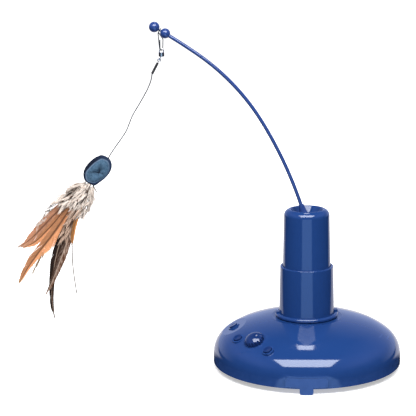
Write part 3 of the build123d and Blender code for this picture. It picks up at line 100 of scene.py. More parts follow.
class Graph:
    """Adds and joins the nodes of one material, world or node group."""

    def __init__(self, tree: bpy.types.NodeTree) -> None:
        """Takes the tree that the nodes go into."""
        self.tree = tree

    def add(self, kind: str, inputs: dict | None = None, **options: object) -> bpy.types.Node:
        """Adds one node.

        Args:
            kind: The node's type.
            inputs: Values or outputs for its inputs, by name or number.
            options: The node's own settings.

        Returns:
            The new node.
        """
        node = self.tree.nodes.new(kind)
        for name, value in options.items():
            setattr(node, name, value)
        for name, value in (inputs or {}).items():
            self.put(node.inputs[name], value)
        return node

    def put(self, socket: Socket, value: object) -> None:
        """Gives an input a fixed value, or the output that drives it.

        Args:
            socket: The input.
            value: A number, a colour, a vector or another node's output.
        """
        if isinstance(value, Socket):
            self.tree.links.new(value, socket)
        elif isinstance(value, tuple) and len(value) == 3 and socket.type == "RGBA":
            socket.default_value = (*value, 1.0)
        else:
            socket.default_value = value

    def math(self, operation: str, first: object, second: object = 0.0, clamp: bool = False) -> Socket:
        """Output of one arithmetic step on two numbers."""
        inputs = {0: first, 1: second}
        return self.add("ShaderNodeMath", inputs, operation=operation, use_clamp=clamp).outputs[0]

    def plus(self, first: object, second: object) -> Socket:
        """Sum of two numbers."""
        return self.math("ADD", first, second)

    def minus(self, first: object, second: object) -> Socket:
        """Difference of two numbers."""
        return self.math("SUBTRACT", first, second)

    def times(self, first: object, second: object) -> Socket:
        """Product of two numbers."""
        return self.math("MULTIPLY", first, second)

    def size(self, value: object) -> Socket:
        """A number without its sign."""
        return self.math("ABSOLUTE", value)

    def spread(self, value: object, low: Pair, high: Pair) -> Socket:
        """Maps a number from one range to another.

        Args:
            value: The number.
            low: Where the range starts, and what it becomes there.
            high: Where the range ends, and what it becomes there.

        Returns:
            The mapped number, held within its new range.
        """
        inputs = {0: value, 1: low[0], 2: high[0], 3: low[1], 4: high[1]}
        return self.add("ShaderNodeMapRange", inputs, clamp=True).outputs[0]

    def rise(self, value: object, edge: Pair) -> Socket:
        """0 before the edge's start and 1 after its end."""
        return self.spread(value, (edge[0], 0.0), (edge[1], 1.0))

    def fall(self, value: object, edge: Pair) -> Socket:
        """1 before the edge's start and 0 after its end."""
        return self.spread(value, (edge[0], 1.0), (edge[1], 0.0))

    def mix(self, share: object, first: object, second: object, how: str = "MIX") -> Socket:
        """Blends two colours.

        Args:
            share: How much of the second there is, from 0 to 1.
            first: The colour at 0.
            second: The colour at 1.
            how: The way in which they blend.

        Returns:
            The blended colour.
        """
        node = self.add("ShaderNodeMix", data_type="RGBA", blend_type=how)
        for number, value in ((0, share), (6, first), (7, second)):
            self.put(node.inputs[number], value)
        return node.outputs[2]

    def grey(self, value: object) -> Socket:
        """Grey of one brightness."""
        return self.add("ShaderNodeCombineColor", {0: value, 1: value, 2: value}).outputs[0]

    def noise(self, place: object, scale: object, detail: float = 2.0, rough: float = 0.5) -> Socket:
        """Height of a fractal noise from 0 to 1."""
        inputs = {"Vector": place, "Scale": scale, "Detail": detail, "Roughness": rough}
        return self.add("ShaderNodeTexNoise", inputs).outputs[0]

    def place(self, stretch: Row = (1.0, 1.0, 1.0), turn: Row = (0.0, 0.0, 0.0)) -> Socket:
        """The piece's own coordinates.

        Args:
            stretch: Factor along each axis.
            turn: Turn about each axis.

        Returns:
            The coordinates, stretched and turned.
        """
        own = self.add("ShaderNodeTexCoord").outputs["Object"]
        mapped = self.add("ShaderNodeMapping", {"Vector": own, "Rotation": turn, "Scale": stretch})
        return mapped.outputs[0]

    def attribute(self, name: str) -> Socket:
        """A number that the mesh carries at each point."""
        return self.add("ShaderNodeAttribute", attribute_name=name).outputs["Fac"]

    def ramp(self, value: object, stops: list[tuple[float, Colour]]) -> Socket:
        """Colour ramp.

        Args:
            value: The number that it reads.
            stops: Place and colour of each stop.

        Returns:
            The colour.
        """
        node = self.add("ShaderNodeValToRGB", {0: value})
        points = node.color_ramp.elements
        while len(points) < len(stops):
            points.new(0.5)
        for point, (at, colour) in zip(points, stops):
            point.position = at
            point.color = (*colour, 1.0)
        return node.outputs[0]


def effect(
    name: str, inputs: dict[str, object], outputs: dict[str, str]
) -> tuple[Graph, bpy.types.NodeOutputs, bpy.types.NodeInputs]:
    """Starts a shared effect as a node group.

    Args:
        name: The group's name.
        inputs: Default value of each input, a number or a colour.
        outputs: Type of each output, Float or Color.

    Returns:
        The group's graph, the values given to it, and the places for its results.
    """
    tree = bpy.data.node_groups.new(name, "ShaderNodeTree")
    for label, value in inputs.items():
        kind = "Color" if isinstance(value, tuple) else "Float"
        socket = tree.interface.new_socket(name=label, in_out="INPUT", socket_type="NodeSocket" + kind)
        socket.default_value = (*value, 1.0) if isinstance(value, tuple) else value
    for label, kind in outputs.items():
        tree.interface.new_socket(name=label, in_out="OUTPUT", socket_type="NodeSocket" + kind)
    graph = Graph(tree)
    return graph, graph.add("NodeGroupInput").outputs, graph.add("NodeGroupOutput").inputs


def moulding_effect() -> bpy.types.NodeTree:
    """Moulded plastic: cloudy colour, flow lines, handling marks and a fine grain.

    Returns:
        The node group.
    """
    graph, given, result = effect(
        "Moulded skin",
        {"Colour": (0.5, 0.5, 0.5), "Cloud": 0.06, "Roughness": 0.2, "Marks": 0.04, "Grain size": 900.0},
        {"Colour": "Color", "Roughness": "Float", "Height": "Float"},
    )
    own = graph.place()
    cloud = graph.noise(own, scale=18.0, detail=3.0)
    lift = graph.plus(graph.times(graph.minus(cloud, 0.5), given["Cloud"]), 1.0)
    graph.put(result["Colour"], graph.mix(1.0, given["Colour"], graph.grey(lift), "MULTIPLY"))
    streaks = graph.noise(graph.place(stretch=(1.0, 1.0, 0.06), turn=(0.5, 0.2, 0.3)), scale=900.0)
    marks = graph.times(graph.rise(streaks, (0.62, 0.75)), given["Marks"])
    patches = graph.times(graph.noise(own, scale=35.0, detail=4.0), given["Marks"])
    graph.put(result["Roughness"], graph.plus(given["Roughness"], graph.plus(marks, patches)))
    graph.put(result["Height"], graph.noise(own, scale=given["Grain size"]))
    return graph.tree


def brushing_effect() -> bpy.types.NodeTree:
    """Drawn or turned metal: fine lines along one axis, with patches of tarnish.

    Returns:
        The node group.
    """
    graph, given, result = effect(
        "Drawn metal",
        {"Colour": (0.6, 0.6, 0.6), "Roughness": 0.25, "Tarnish": 0.2},
        {"Colour": "Color", "Roughness": "Float", "Height": "Float"},
    )
    lines = graph.noise(graph.place(stretch=(1.0, 1.0, 0.05)), scale=3000.0)
    patches = graph.rise(graph.noise(graph.place(), scale=260.0, detail=3.0), (0.4, 0.7))
    dull = graph.times(patches, given["Tarnish"])
    dark = graph.mix(1.0, given["Colour"], (0.55, 0.52, 0.46), "MULTIPLY")
    graph.put(result["Colour"], graph.mix(dull, given["Colour"], dark))
    rough = graph.plus(given["Roughness"], graph.times(lines, 0.12))
    graph.put(result["Roughness"], graph.plus(rough, graph.times(dull, 0.25)))
    graph.put(result["Height"], lines)
    return graph.tree


def edge_effect() -> bpy.types.NodeTree:
    """Mask of a moulding's or a cut part's outer edges, broken up by a noise: painted highlight on plastic,
    wear on metal.

    Returns:
        The node group.
    """
    graph, given, result = effect("Edge wear and painted highlight", {"Reach": 0.06, "Breakup": 120.0}, {"Mask": "Float"})
    point = graph.add("ShaderNodeNewGeometry").outputs["Pointiness"]
    edge = graph.math("DIVIDE", graph.minus(point, 0.5), given["Reach"], clamp=True)
    broken = graph.noise(graph.place(), scale=given["Breakup"])
    graph.put(result["Mask"], graph.times(edge, graph.spread(broken, (0.3, 0.35), (0.6, 1.0))))
    return graph.tree


def weave_effect() -> bpy.types.NodeTree:
    """Brushed twill: two sets of threads under a soft nap.

    Returns:
        The node group.
    """
    graph, given, result = effect(
        "Brushed twill", {"Threads": 2600.0, "Nap": 0.5}, {"Light": "Float", "Height": "Float"}
    )
    own = graph.place(stretch=(1.0, 0.4, 1.0))
    waves = []
    for turn in (0.45, 2.02):
        turned = graph.add("ShaderNodeMapping", {"Vector": own, "Rotation": (0.0, turn, 0.0)}).outputs[0]
        inputs = {"Vector": turned, "Scale": given["Threads"], "Distortion": 1.2, "Detail": 1.0}
        waves.append(graph.add("ShaderNodeTexWave", inputs, wave_profile="SIN").outputs[1])
    threads = graph.math("MAXIMUM", waves[0], waves[1])
    nap = graph.noise(graph.place(), scale=1900.0, detail=4.0, rough=0.7)
    both = graph.mix(given["Nap"], threads, nap)
    graph.put(result["Light"], both)
    graph.put(result["Height"], both)
    return graph.tree


def barb_effect() -> bpy.types.NodeTree:
    """Feather's barbs: streaks that follow each barb, and the shade of the barb itself.

    Returns:
        The node group.
    """
    graph, given, result = effect(
        "Barbs", {"Fineness": 60.0, "Depth": 0.3}, {"Shade": "Float", "Streak": "Float", "Height": "Float"}
    )
    along, across, own = (graph.attribute(name) for name in ("along", "across", "shade"))
    spot = graph.add("ShaderNodeCombineXYZ", {0: graph.times(along, 14.0), 1: across, 2: own}).outputs[0]
    fine = graph.noise(spot, scale=given["Fineness"], detail=1.0)
    depth = graph.times(graph.plus(graph.minus(fine, 0.5), own), given["Depth"])
    graph.put(result["Shade"], graph.plus(depth, 1.0))
    graph.put(result["Streak"], graph.noise(spot, scale=2.2, detail=3.0))
    graph.put(result["Height"], fine)
    return graph.tree


EFFECTS: dict[str, bpy.types.NodeTree] = {}


def use_effect(graph: Graph, name: str, inputs: dict[str, object]) -> bpy.types.NodeOutputs:
    """Places a shared effect in a material with the material's own values, and gives its outputs."""
    return graph.add("ShaderNodeGroup", inputs, node_tree=EFFECTS[name]).outputs


def new_material(name: str) -> tuple[bpy.types.Material, Graph, bpy.types.Node]:
    """Empty material with its shader joined to its output.

    Args:
        name: The material's name.

    Returns:
        The material, its graph and its shader.
    """
    material = bpy.data.materials.new(name)
    material.use_nodes = True
    material.node_tree.nodes.clear()
    graph = Graph(material.node_tree)
    shader = graph.add("ShaderNodeBsdfPrincipled")
    output = graph.add("ShaderNodeOutputMaterial")
    graph.put(output.inputs["Surface"], shader.outputs["BSDF"])
    return material, graph, shader


def settle(shader: bpy.types.Node, values: dict[str, float | Colour]) -> None:
    """Sets the shader's own fixed values."""
    for name, value in values.items():
        shader.inputs[name].default_value = (*value, 1.0) if isinstance(value, tuple) else value


def bump(graph: Graph, shader: bpy.types.Node, height: object, strength: float, depth: float) -> None:
    """Joins a height to the shader's normal; depth is in metres."""
    node = graph.add("ShaderNodeBump", {"Height": height, "Strength": strength, "Distance": depth})
    graph.put(shader.inputs["Normal"], node.outputs[0])


# Finishes


@dataclass(frozen=True)
class MouldedPlastic:
    """Injection-moulded plastic, from high gloss to a fine texture, with a painted highlight along its outer
    edges.
    """

    name: str
    colour: Colour
    roughness: float
    cloud: float = 0.08
    marks: float = 0.03
    grain_size: float = 700.0
    grain_depth: float = 0.00001
    grain_strength: float = 0.12
    ior: float = 1.53
    gloss_tint: Colour = WHITE
    edge_wear_and_highlight: float = 0.25
    edge_gain: float = 1.7
    edge_lift: float = 0.02

    def build(self) -> bpy.types.Material:
        """Makes the material.

        Returns:
            The material.
        """
        material, graph, shader = new_material(self.name)
        inputs = {
            "Colour": self.colour, "Cloud": self.cloud, "Roughness": self.roughness,
            "Marks": self.marks, "Grain size": self.grain_size,
        }
        skin = use_effect(graph, "moulding", inputs)
        # Painted highlight: the outer edges are mixed towards a paler copy of the colour.
        lit = graph.times(use_effect(graph, "edges", {})["Mask"], self.edge_wear_and_highlight)
        pale = tuple(min(1.0, value * self.edge_gain + self.edge_lift) for value in self.colour)
        graph.put(shader.inputs["Base Color"], graph.mix(lit, skin["Colour"], pale))
        graph.put(shader.inputs["Roughness"], skin["Roughness"])
        settle(shader, {"IOR": self.ior, "Specular Tint": self.gloss_tint})
        bump(graph, shader, skin["Height"], self.grain_strength, self.grain_depth)
        return material


@dataclass(frozen=True)
class DrawnMetal:
    """Wire, turned or pressed metal."""

    name: str
    colour: Colour
    roughness: float
    tarnish: float = 0.2
    edge_gain: float = 1.3
    edge_wear_and_highlight: float = 0.5
    line_strength: float = 0.15
    line_depth: float = 0.00001

    def build(self) -> bpy.types.Material:
        """Makes the material.

        Returns:
            The material.
        """
        material, graph, shader = new_material(self.name)
        inputs = {"Colour": self.colour, "Roughness": self.roughness, "Tarnish": self.tarnish}
        drawn = use_effect(graph, "brushing", inputs)
        worn = graph.times(use_effect(graph, "edges", {})["Mask"], self.edge_wear_and_highlight)
        bright = tuple(min(1.0, value * self.edge_gain) for value in self.colour)
        graph.put(shader.inputs["Base Color"], graph.mix(worn, drawn["Colour"], bright))
        graph.put(shader.inputs["Roughness"], drawn["Roughness"])
        settle(shader, {"Metallic": 1.0})
        bump(graph, shader, drawn["Height"], self.line_strength, self.line_depth)
        return material


@dataclass(frozen=True)
class BoardLacquer:
    """Circuit board: lacquer over copper tracks, with bare pads."""

    name: str
    colour: Colour = (0.015, 0.12, 0.045)
    copper: Colour = (0.03, 0.2, 0.07)
    pad: Colour = (0.6, 0.52, 0.36)
    cell_scale: float = 260.0
    track_edge: Pair = (0.42, 0.46)
    pad_edge: Pair = (0.1, 0.13)
    roughness: Pair = (0.28, 0.42)
    track_strength: float = 0.4
    track_depth: float = 0.00004

    def build(self) -> bpy.types.Material:
        """Makes the material.

        Returns:
            The material.
        """
        material, graph, shader = new_material(self.name)
        own = graph.place()
        inputs = {"Vector": own, "Scale": self.cell_scale}
        cells = graph.add("ShaderNodeTexVoronoi", inputs, distance="CHEBYCHEV", feature="F1")
        away = cells.outputs["Distance"]
        tracks, pads = graph.rise(away, self.track_edge), graph.fall(away, self.pad_edge)
        base = graph.mix(tracks, self.colour, self.copper)
        graph.put(shader.inputs["Base Color"], graph.mix(pads, base, self.pad))
        smooth, dull = self.roughness
        rough = graph.spread(graph.noise(own, scale=60.0), (0.3, smooth), (0.7, dull))
        graph.put(shader.inputs["Roughness"], rough)
        bump(graph, shader, tracks, self.track_strength, self.track_depth)
        return material


@dataclass(frozen=True)
class Twill:
    """Napped cloth.

    The mesh marks the gusset as rim, its painted lit side as lit, the creases and stitch that get painted
    shade, and a pale seam line.
    """

    name: str
    face: Colour
    shadow: Colour
    shaded_rim: Colour
    lit_rim: Colour
    seam_line: Colour
    threads: float = 1500.0
    nap: float = 0.6
    thread_share: float = 0.4
    cloud_share: float = 0.6
    cloud_scale: float = 300.0
    crease_shade_strength: float = 0.85
    sheen: float = 0.015
    sheen_tint: Colour = (0.55, 0.68, 0.85)
    gloss: float = 0.12
    nap_strength: float = 0.8
    nap_depth: float = 0.0004

    def build(self) -> bpy.types.Material:
        """Makes the material.

        Returns:
            The material.
        """
        material, graph, shader = new_material(self.name)
        cloth = use_effect(graph, "weave", {"Threads": self.threads, "Nap": self.nap})
        cloud = graph.noise(graph.place(), scale=self.cloud_scale, detail=5.0, rough=0.7)
        threads = graph.times(cloth["Light"], self.thread_share)
        mottle = graph.plus(threads, graph.times(cloud, self.cloud_share))
        face = graph.mix(graph.rise(mottle, (0.38, 0.6)), self.shadow, self.face)
        # Painted shade: the creases and the ring round the stitch darken the face.
        face = graph.mix(graph.times(graph.attribute("crease_shade"), self.crease_shade_strength), face, self.shaded_rim)
        # Painted light and shade: the gusset runs from the shaded rim colour on one side to the lit rim
        # colour on the other.
        gusset = graph.mix(graph.attribute("lit"), self.shaded_rim, self.lit_rim)
        gusset = graph.mix(graph.spread(mottle, (0.35, 0.0), (0.65, 0.15)), gusset, self.shadow)
        body = graph.mix(graph.attribute("rim"), face, gusset)
        # A pale line along the seam.
        graph.put(shader.inputs["Base Color"], graph.mix(graph.attribute("seam_line"), body, self.seam_line))
        graph.put(shader.inputs["Roughness"], graph.spread(cloud, (0.3, 0.8), (0.7, 0.95)))
        settle(shader, {"Sheen Weight": self.sheen, "Sheen Roughness": 0.5, "Sheen Tint": self.sheen_tint})
        settle(shader, {"Specular IOR Level": self.gloss})
        bump(graph, shader, mottle, self.nap_strength, self.nap_depth)
        return material


@dataclass(frozen=True)
class Plumage:
    """Feather vane or down: colours from root to tip, streaks that follow the barbs, painted shade beside the
    quill and one half painted lighter.
    """

    name: str
    root: Colour
    middle: Colour
    tip: Colour
    streak: Colour
    streak_amount: float = 0.4
    quill_shade: float = 0.3
    depth: float = 0.35
    stops: Row = (0.08, 0.35, 0.93)
    left: float = 1.0
    right: float = 1.0
    edge: Colour = (0.6, 0.45, 0.3)
    edge_amount: float = 0.0
    dark_locks: float = 0.0
    halves_blur: float = 0.15
    sheen: float = 0.1
    gloss: float = 0.3
    barb_strength: float = 0.3
    barb_depth: float = 0.00008

    def build(self) -> bpy.types.Material:
        """Makes the material.

        Returns:
            The material.
        """
        material, graph, shader = new_material(self.name)
        barbs = use_effect(graph, "barbs", {"Depth": self.depth})
        along, across = graph.attribute("along"), graph.attribute("across")
        start, full, end = self.stops
        stops = [(start, self.root), (full, self.middle), (end, self.middle), (1.0, self.tip)]
        body = graph.ramp(along, stops)
        streaked = graph.times(graph.rise(barbs["Streak"], (0.5, 0.6)), self.streak_amount)
        body = graph.mix(streaked, body, self.streak)
        aside = graph.size(across)
        body = graph.mix(graph.spread(aside, (0.55, 0.0), (0.95, self.edge_amount)), body, self.edge)
        # Painted shade: the barbs nearest the quill are darkened towards the streak colour.
        spine = graph.times(graph.fall(aside, (0.02, 0.2)), self.quill_shade)
        body = graph.mix(spine, body, self.streak)
        shaded = graph.fall(graph.attribute("shade"), (-0.8, -0.3))
        body = graph.mix(graph.times(shaded, self.dark_locks), body, self.streak)
        # Painted light and shade: the brightness of the left half and of the right half, blurred across the
        # quill.
        half = graph.spread(across, (-self.halves_blur, self.left), (self.halves_blur, self.right))
        grey = graph.grey(graph.times(barbs["Shade"], half))
        graph.put(shader.inputs["Base Color"], graph.mix(1.0, body, grey, "MULTIPLY"))
        graph.put(shader.inputs["Roughness"], graph.spread(barbs["Height"], (0.3, 0.5), (0.7, 0.75)))
        settle(shader, {"Sheen Weight": self.sheen, "Sheen Roughness": 0.4, "Specular IOR Level": self.gloss})
        bump(graph, shader, barbs["Height"], self.barb_strength, self.barb_depth)
        return material


@dataclass(frozen=True)
class TwistedFibre:
    """Line or wound sleeve, with the lay of its strands."""

    name: str
    colour: Colour
    roughness: float
    lay: float = 900.0
    lay_turn: float = 0.9
    dark_share: float = 0.75
    groove_rough: float = 0.2
    strand_strength: float = 0.4
    strand_depth: float = 0.00005

    def build(self) -> bpy.types.Material:
        """Makes the material.

        Returns:
            The material.
        """
        material, graph, shader = new_material(self.name)
        turned = graph.place(turn=(0.0, self.lay_turn, 0.0))
        inputs = {"Vector": turned, "Scale": self.lay, "Distortion": 0.6}
        strands = graph.add("ShaderNodeTexWave", inputs).outputs[1]
        dark = tuple(value * self.dark_share for value in self.colour)
        graph.put(shader.inputs["Base Color"], graph.mix(strands, dark, self.colour))
        rough = graph.spread(strands, (0.0, self.roughness + self.groove_rough), (1.0, self.roughness))
        graph.put(shader.inputs["Roughness"], rough)
        bump(graph, shader, strands, self.strand_strength, self.strand_depth)
        return material


GLOSS_TINT: Colour = (0.85, 0.9, 1.0)
BLUE_GLOSS = MouldedPlastic("blue_gloss", (0.011, 0.042, 0.168), 0.07, ior=1.62, gloss_tint=GLOSS_TINT)
PAN_TEXTURE = MouldedPlastic(
    "blue_texture", (0.011, 0.04, 0.15), 0.5, grain_size=2600.0, grain_depth=0.00006, grain_strength=0.5
)
FOOT_SATIN = MouldedPlastic(
    "blue_foot", (0.016, 0.055, 0.2), 0.3, grain_size=1500.0, grain_depth=0.00002, grain_strength=0.3
)
CONTROL_GLOSS = MouldedPlastic(
    "blue_controls", (0.006, 0.024, 0.11), 0.1, ior=1.62, gloss_tint=GLOSS_TINT, edge_wear_and_highlight=0.35
)
WAND_GLOSS = MouldedPlastic(
    "blue_wand", (0.018, 0.046, 0.19), 0.15, marks=0.05, ior=1.7, gloss_tint=GLOSS_TINT
)
NYLON = MouldedPlastic("natural_nylon", (0.75, 0.73, 0.66), 0.42, grain_size=1800.0, grain_strength=0.3)
BLACK_NYLON = MouldedPlastic("black_nylon", (0.03, 0.03, 0.033), 0.45, grain_size=1800.0, grain_strength=0.3)
SWITCH_BLACK = MouldedPlastic("switch_black", (0.015, 0.015, 0.015), 0.4)
LEAD_SLEEVE = MouldedPlastic("lead_sleeve", (0.02, 0.02, 0.02), 0.35)
CELL_JACKET = DrawnMetal("cell_jacket", (0.45, 0.46, 0.48), 0.38, tarnish=0.15)
WIRE_STEEL = DrawnMetal("wire_steel", (0.3, 0.28, 0.24), 0.2, tarnish=0.3)
SCREW_ZINC = DrawnMetal("screw_zinc", (0.55, 0.56, 0.58), 0.3)
BRIGHT_SWIVEL = DrawnMetal("bright_swivel", (0.6, 0.58, 0.56), 0.12, tarnish=0.15)
BRONZE = DrawnMetal("bronze", (0.58, 0.38, 0.17), 0.35)
NICKEL = DrawnMetal("nickel", (0.62, 0.6, 0.55), 0.25)
MOTOR_STEEL = DrawnMetal("motor_steel", (0.5, 0.51, 0.53), 0.32)
BOARD_GREEN = BoardLacquer("board_green")
CRIMP_BLACK = TwistedFibre("crimp_black", (0.012, 0.012, 0.013), 0.35, lay=1100.0)
LINE_GREY = TwistedFibre("line_grey", (0.12, 0.12, 0.123), 0.4, lay=1400.0)
LURE_CLOTH = Twill(
    "lure_cloth", face=(0.078, 0.15, 0.235), shadow=(0.02, 0.05, 0.095), shaded_rim=(0.004, 0.005, 0.014),
    lit_rim=(0.03, 0.055, 0.13), seam_line=(0.2, 0.24, 0.34),
)
TAN = Plumage(
    "feather_tan", root=(0.34, 0.155, 0.08), middle=(0.74, 0.335, 0.16), tip=(0.76, 0.46, 0.22),
    streak=(0.12, 0.04, 0.015), streak_amount=0.2, quill_shade=0.8, left=0.8, right=1.12,
    edge=(0.78, 0.47, 0.22), edge_amount=0.6,
)
TAN_BACK = Plumage(
    "feather_tan_back", root=(0.34, 0.17, 0.1), middle=(0.74, 0.37, 0.22), tip=(0.76, 0.64, 0.54),
    streak=(0.16, 0.06, 0.028), streak_amount=0.22, quill_shade=0.6, left=1.05, right=0.85,
    edge=(0.62, 0.36, 0.2), edge_amount=0.4,
)
PALE = Plumage(
    "feather_pale", root=(0.6, 0.5, 0.42), middle=(0.68, 0.55, 0.38), tip=(0.75, 0.7, 0.62),
    streak=(0.3, 0.2, 0.12), streak_amount=0.3, quill_shade=0.3,
)
BROWN = Plumage(
    "feather_brown", root=(0.22, 0.14, 0.1), middle=(0.022, 0.01, 0.007), tip=(0.05, 0.035, 0.028),
    streak=(0.16, 0.07, 0.03), streak_amount=0.25, quill_shade=0.1, left=0.7, right=1.6,
)
STREAKED = Plumage(
    "feather_streaked", root=(0.45, 0.36, 0.3), middle=(0.07, 0.028, 0.014), tip=(0.3, 0.2, 0.14),
    streak=(0.55, 0.43, 0.35), streak_amount=0.4, quill_shade=0.35, left=0.8, right=1.7,
    edge=(0.1, 0.04, 0.02), edge_amount=0.6,
)
AMBER = Plumage(
    "feather_orange", root=(0.45, 0.3, 0.18), middle=(0.62, 0.27, 0.08), tip=(0.34, 0.18, 0.08),
    streak=(0.2, 0.08, 0.03), streak_amount=0.3, quill_shade=0.6, left=0.75, right=1.1,
)
DOWN = Plumage(
    "down_cream", root=(0.92, 0.83, 0.75), middle=(0.88, 0.78, 0.7), tip=(0.95, 0.88, 0.82),
    streak=(0.19, 0.125, 0.09), streak_amount=0.16, quill_shade=0.0, depth=0.5, dark_locks=0.85,
)
BUFF_DOWN = Plumage(
    "down_buff", root=(0.86, 0.7, 0.58), middle=(0.7, 0.5, 0.38), tip=(0.74, 0.58, 0.47),
    streak=(0.16, 0.07, 0.035), streak_amount=0.35, quill_shade=0.0, depth=0.5, dark_locks=0.9,
)
QUILL = MouldedPlastic("quill", (0.42, 0.31, 0.24), 0.35)
STALK = MouldedPlastic("quill_bare", (0.1, 0.07, 0.05), 0.4)
DARK_QUILL = MouldedPlastic("quill_dark", (0.12, 0.055, 0.025), 0.4)

Finish = MouldedPlastic | DrawnMetal | BoardLacquer | Twill | Plumage | TwistedFibre

CAD_FINISHES: dict[str, tuple[Finish, list[str]]] = {
    "shells": (BLUE_GLOSS, ["base_dome", "tower_lower", "tower_upper"]),
    "pan": (PAN_TEXTURE, ["bottom_pan", "battery_door"]),
    "feet": (FOOT_SATIN, ["foot_front", "foot_rear_right", "foot_rear_left"]),
    "controls": (CONTROL_GLOSS, ["dial_knob", "button_lower", "button_upper", "button_side"]),
    "wand": (WAND_GLOSS, ["wand_hub", "wand_rod", "bead_inner", "bead_tip"]),
    "gears": (NYLON, ["output_gear", "idler_gear_high", "idler_gear_mid", "idler_gear_low"]),
    "gearbox": (BLACK_NYLON, ["gearbox_base", "gearbox_cap"]),
    "switches": (SWITCH_BLACK, ["tact_switches", "dial_pot", "dial_shaft"]),
    "leads": (LEAD_SLEEVE, ["motor_leads", "battery_leads"]),
    "cells": (CELL_JACKET, ["cell_left", "cell_middle", "cell_right"]),
    "wire": (WIRE_STEEL, ["snap"]),
    "pins": (WIRE_STEEL, ["idler_pin", "output_shaft", "motor_shaft"]),
    "screws": (SCREW_ZINC, ["base_screws", "board_screws", "gearbox_screws", "motor_screws"]),
    "swivel": (BRIGHT_SWIVEL, ["swivel_barrel", "swivel_pin", "swivel_ring"]),
    "bronze": (BRONZE, ["shaft_bush", "motor_pinion"]),
    "contacts": (NICKEL, ["contact_plates", "contact_springs"]),
    "motor": (MOTOR_STEEL, ["motor_can"]),
    "boards": (BOARD_GREEN, ["control_board", "side_board"]),
}

MADE: dict[str, bpy.types.Material] = {}


def finish_of(finish: Finish) -> bpy.types.Material:
    """The finish's material, made the first time that it is asked for.

    Args:
        finish: The finish.

    Returns:
        Its material.
    """
    if finish.name not in MADE:
        MADE[finish.name] = finish.build()
    return MADE[finish.name]


# Meshes

CORNER_STEPS = 40
QUILL_SIDES = 7


def placed(name: str, data: bpy.types.ID) -> bpy.types.Object:
    """Puts a new object into the scene.

    Args:
        name: The object's name.
        data: Its mesh, curve, lamp or camera.

    Returns:
        The object.
    """
    thing = bpy.data.objects.new(name, data)
    bpy.context.scene.collection.objects.link(thing)
    return thing


def new_piece(
    name: str, points: np.ndarray, faces: np.ndarray | Faces, finish: Finish, numbers: Carried | None = None
) -> bpy.types.Object:
    """Makes a smooth-shaded mesh piece.

    Args:
        name: The piece's name.
        points: Its points in metres, in the frame.
        faces: Rows of point numbers.
        finish: The finish that dresses it.
        numbers: Values that the mesh carries at each point, by name.

    Returns:
        The new object.
    """
    mesh = bpy.data.meshes.new(name)
    mesh.from_pydata([tuple(point) for point in points], [], [tuple(int(i) for i in face) for face in faces])
    for label, values in (numbers or {}).items():
        mesh.attributes.new(label, "FLOAT", "POINT").data.foreach_set("value", np.asarray(values, np.float32))
    mesh.polygons.foreach_set("use_smooth", [True] * len(mesh.polygons))
    mesh.materials.append(finish_of(finish))
    mesh.validate()
    return placed(name, mesh)


def hang(piece: bpy.types.Object, node: str) -> None:
    """Lets a piece ride with the lure, in the place of a solid.

    Args:
        piece: The piece.
        node: The solid that it stands for.
    """
    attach(piece, "lure")
    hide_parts(node)


def unit(vectors: np.ndarray) -> np.ndarray:
    """Vectors along the last axis, each brought to a length of 1."""
    return vectors / np.linalg.norm(vectors, axis=-1)[..., None]


def ring_faces(rows: int, count: int, flip: bool = False) -> Faces:
    """Faces between rings of points that stand one after the other.

    Args:
        rows: How many rings there are.
        count: Points round each ring.
        flip: Whether the faces run the other way round.

    Returns:
        The faces.
    """
    faces = []
    for row in range(rows - 1):
        for column in range(count):
            after = (column + 1) % count
            low, high = row * count, (row + 1) * count
            face = (low + column, low + after, high + after, high + column)
            faces.append((face[0], face[3], face[2], face[1]) if flip else face)
    return faces


def sides_of(path: np.ndarray) -> tuple[np.ndarray, np.ndarray]:
    """Two directions square to a path at each point, carried along it without twist.

    Args:
        path: The path's points.

    Returns:
        The two unit directions at each point, the first one close to Y at the start.
    """
    heading = unit(np.gradient(path, axis=0))
    side = AWAY
    firsts = []
    for way in heading:
        side = side - way * (side @ way)
        side = side / np.linalg.norm(side)
        firsts.append(side)
    firsts = np.array(firsts)
    return firsts, np.cross(heading, firsts)


def tube_mesh(path: np.ndarray, radii: np.ndarray, count: int) -> tuple[np.ndarray, Faces]:
    """Points and faces of a closed round tube whose radius changes along its path.

    Args:
        path: The centre line's points.
        radii: The radius at each point.
        count: Points round the tube.

    Returns:
        The points and the faces, with a flat end at each side.
    """
    one, two = sides_of(path)
    turn = np.linspace(0, 2 * np.pi, count, endpoint=False)
    ring = one[:, None] * np.cos(turn)[None, :, None] + two[:, None] * np.sin(turn)[None, :, None]
    points = (path[:, None] + ring * radii[:, None, None]).reshape(-1, 3)
    total = len(path) * count
    caps = [tuple(range(count))[::-1], tuple(range(total - count, total))]
    return points, ring_faces(len(path), count) + caps


def ribbon_mesh(centres: np.ndarray, halves: np.ndarray) -> tuple[np.ndarray, np.ndarray]:
    """Points and faces of many flat strands.

    Args:
        centres: Centre line of each strand, as strands by points by 3.
        halves: Half-width vector at each of those points.

    Returns:
        The points, in strand order, and the faces.
    """
    strands, steps, _ = centres.shape
    points = np.stack([centres - halves, centres + halves], axis=2).reshape(-1, 3)
    base = (np.arange(strands) * steps * 2)[:, None] + np.arange(steps - 1)[None] * 2
    faces = np.stack([base, base + 1, base + 3, base + 2], axis=-1).reshape(-1, 4)
    return points, faces


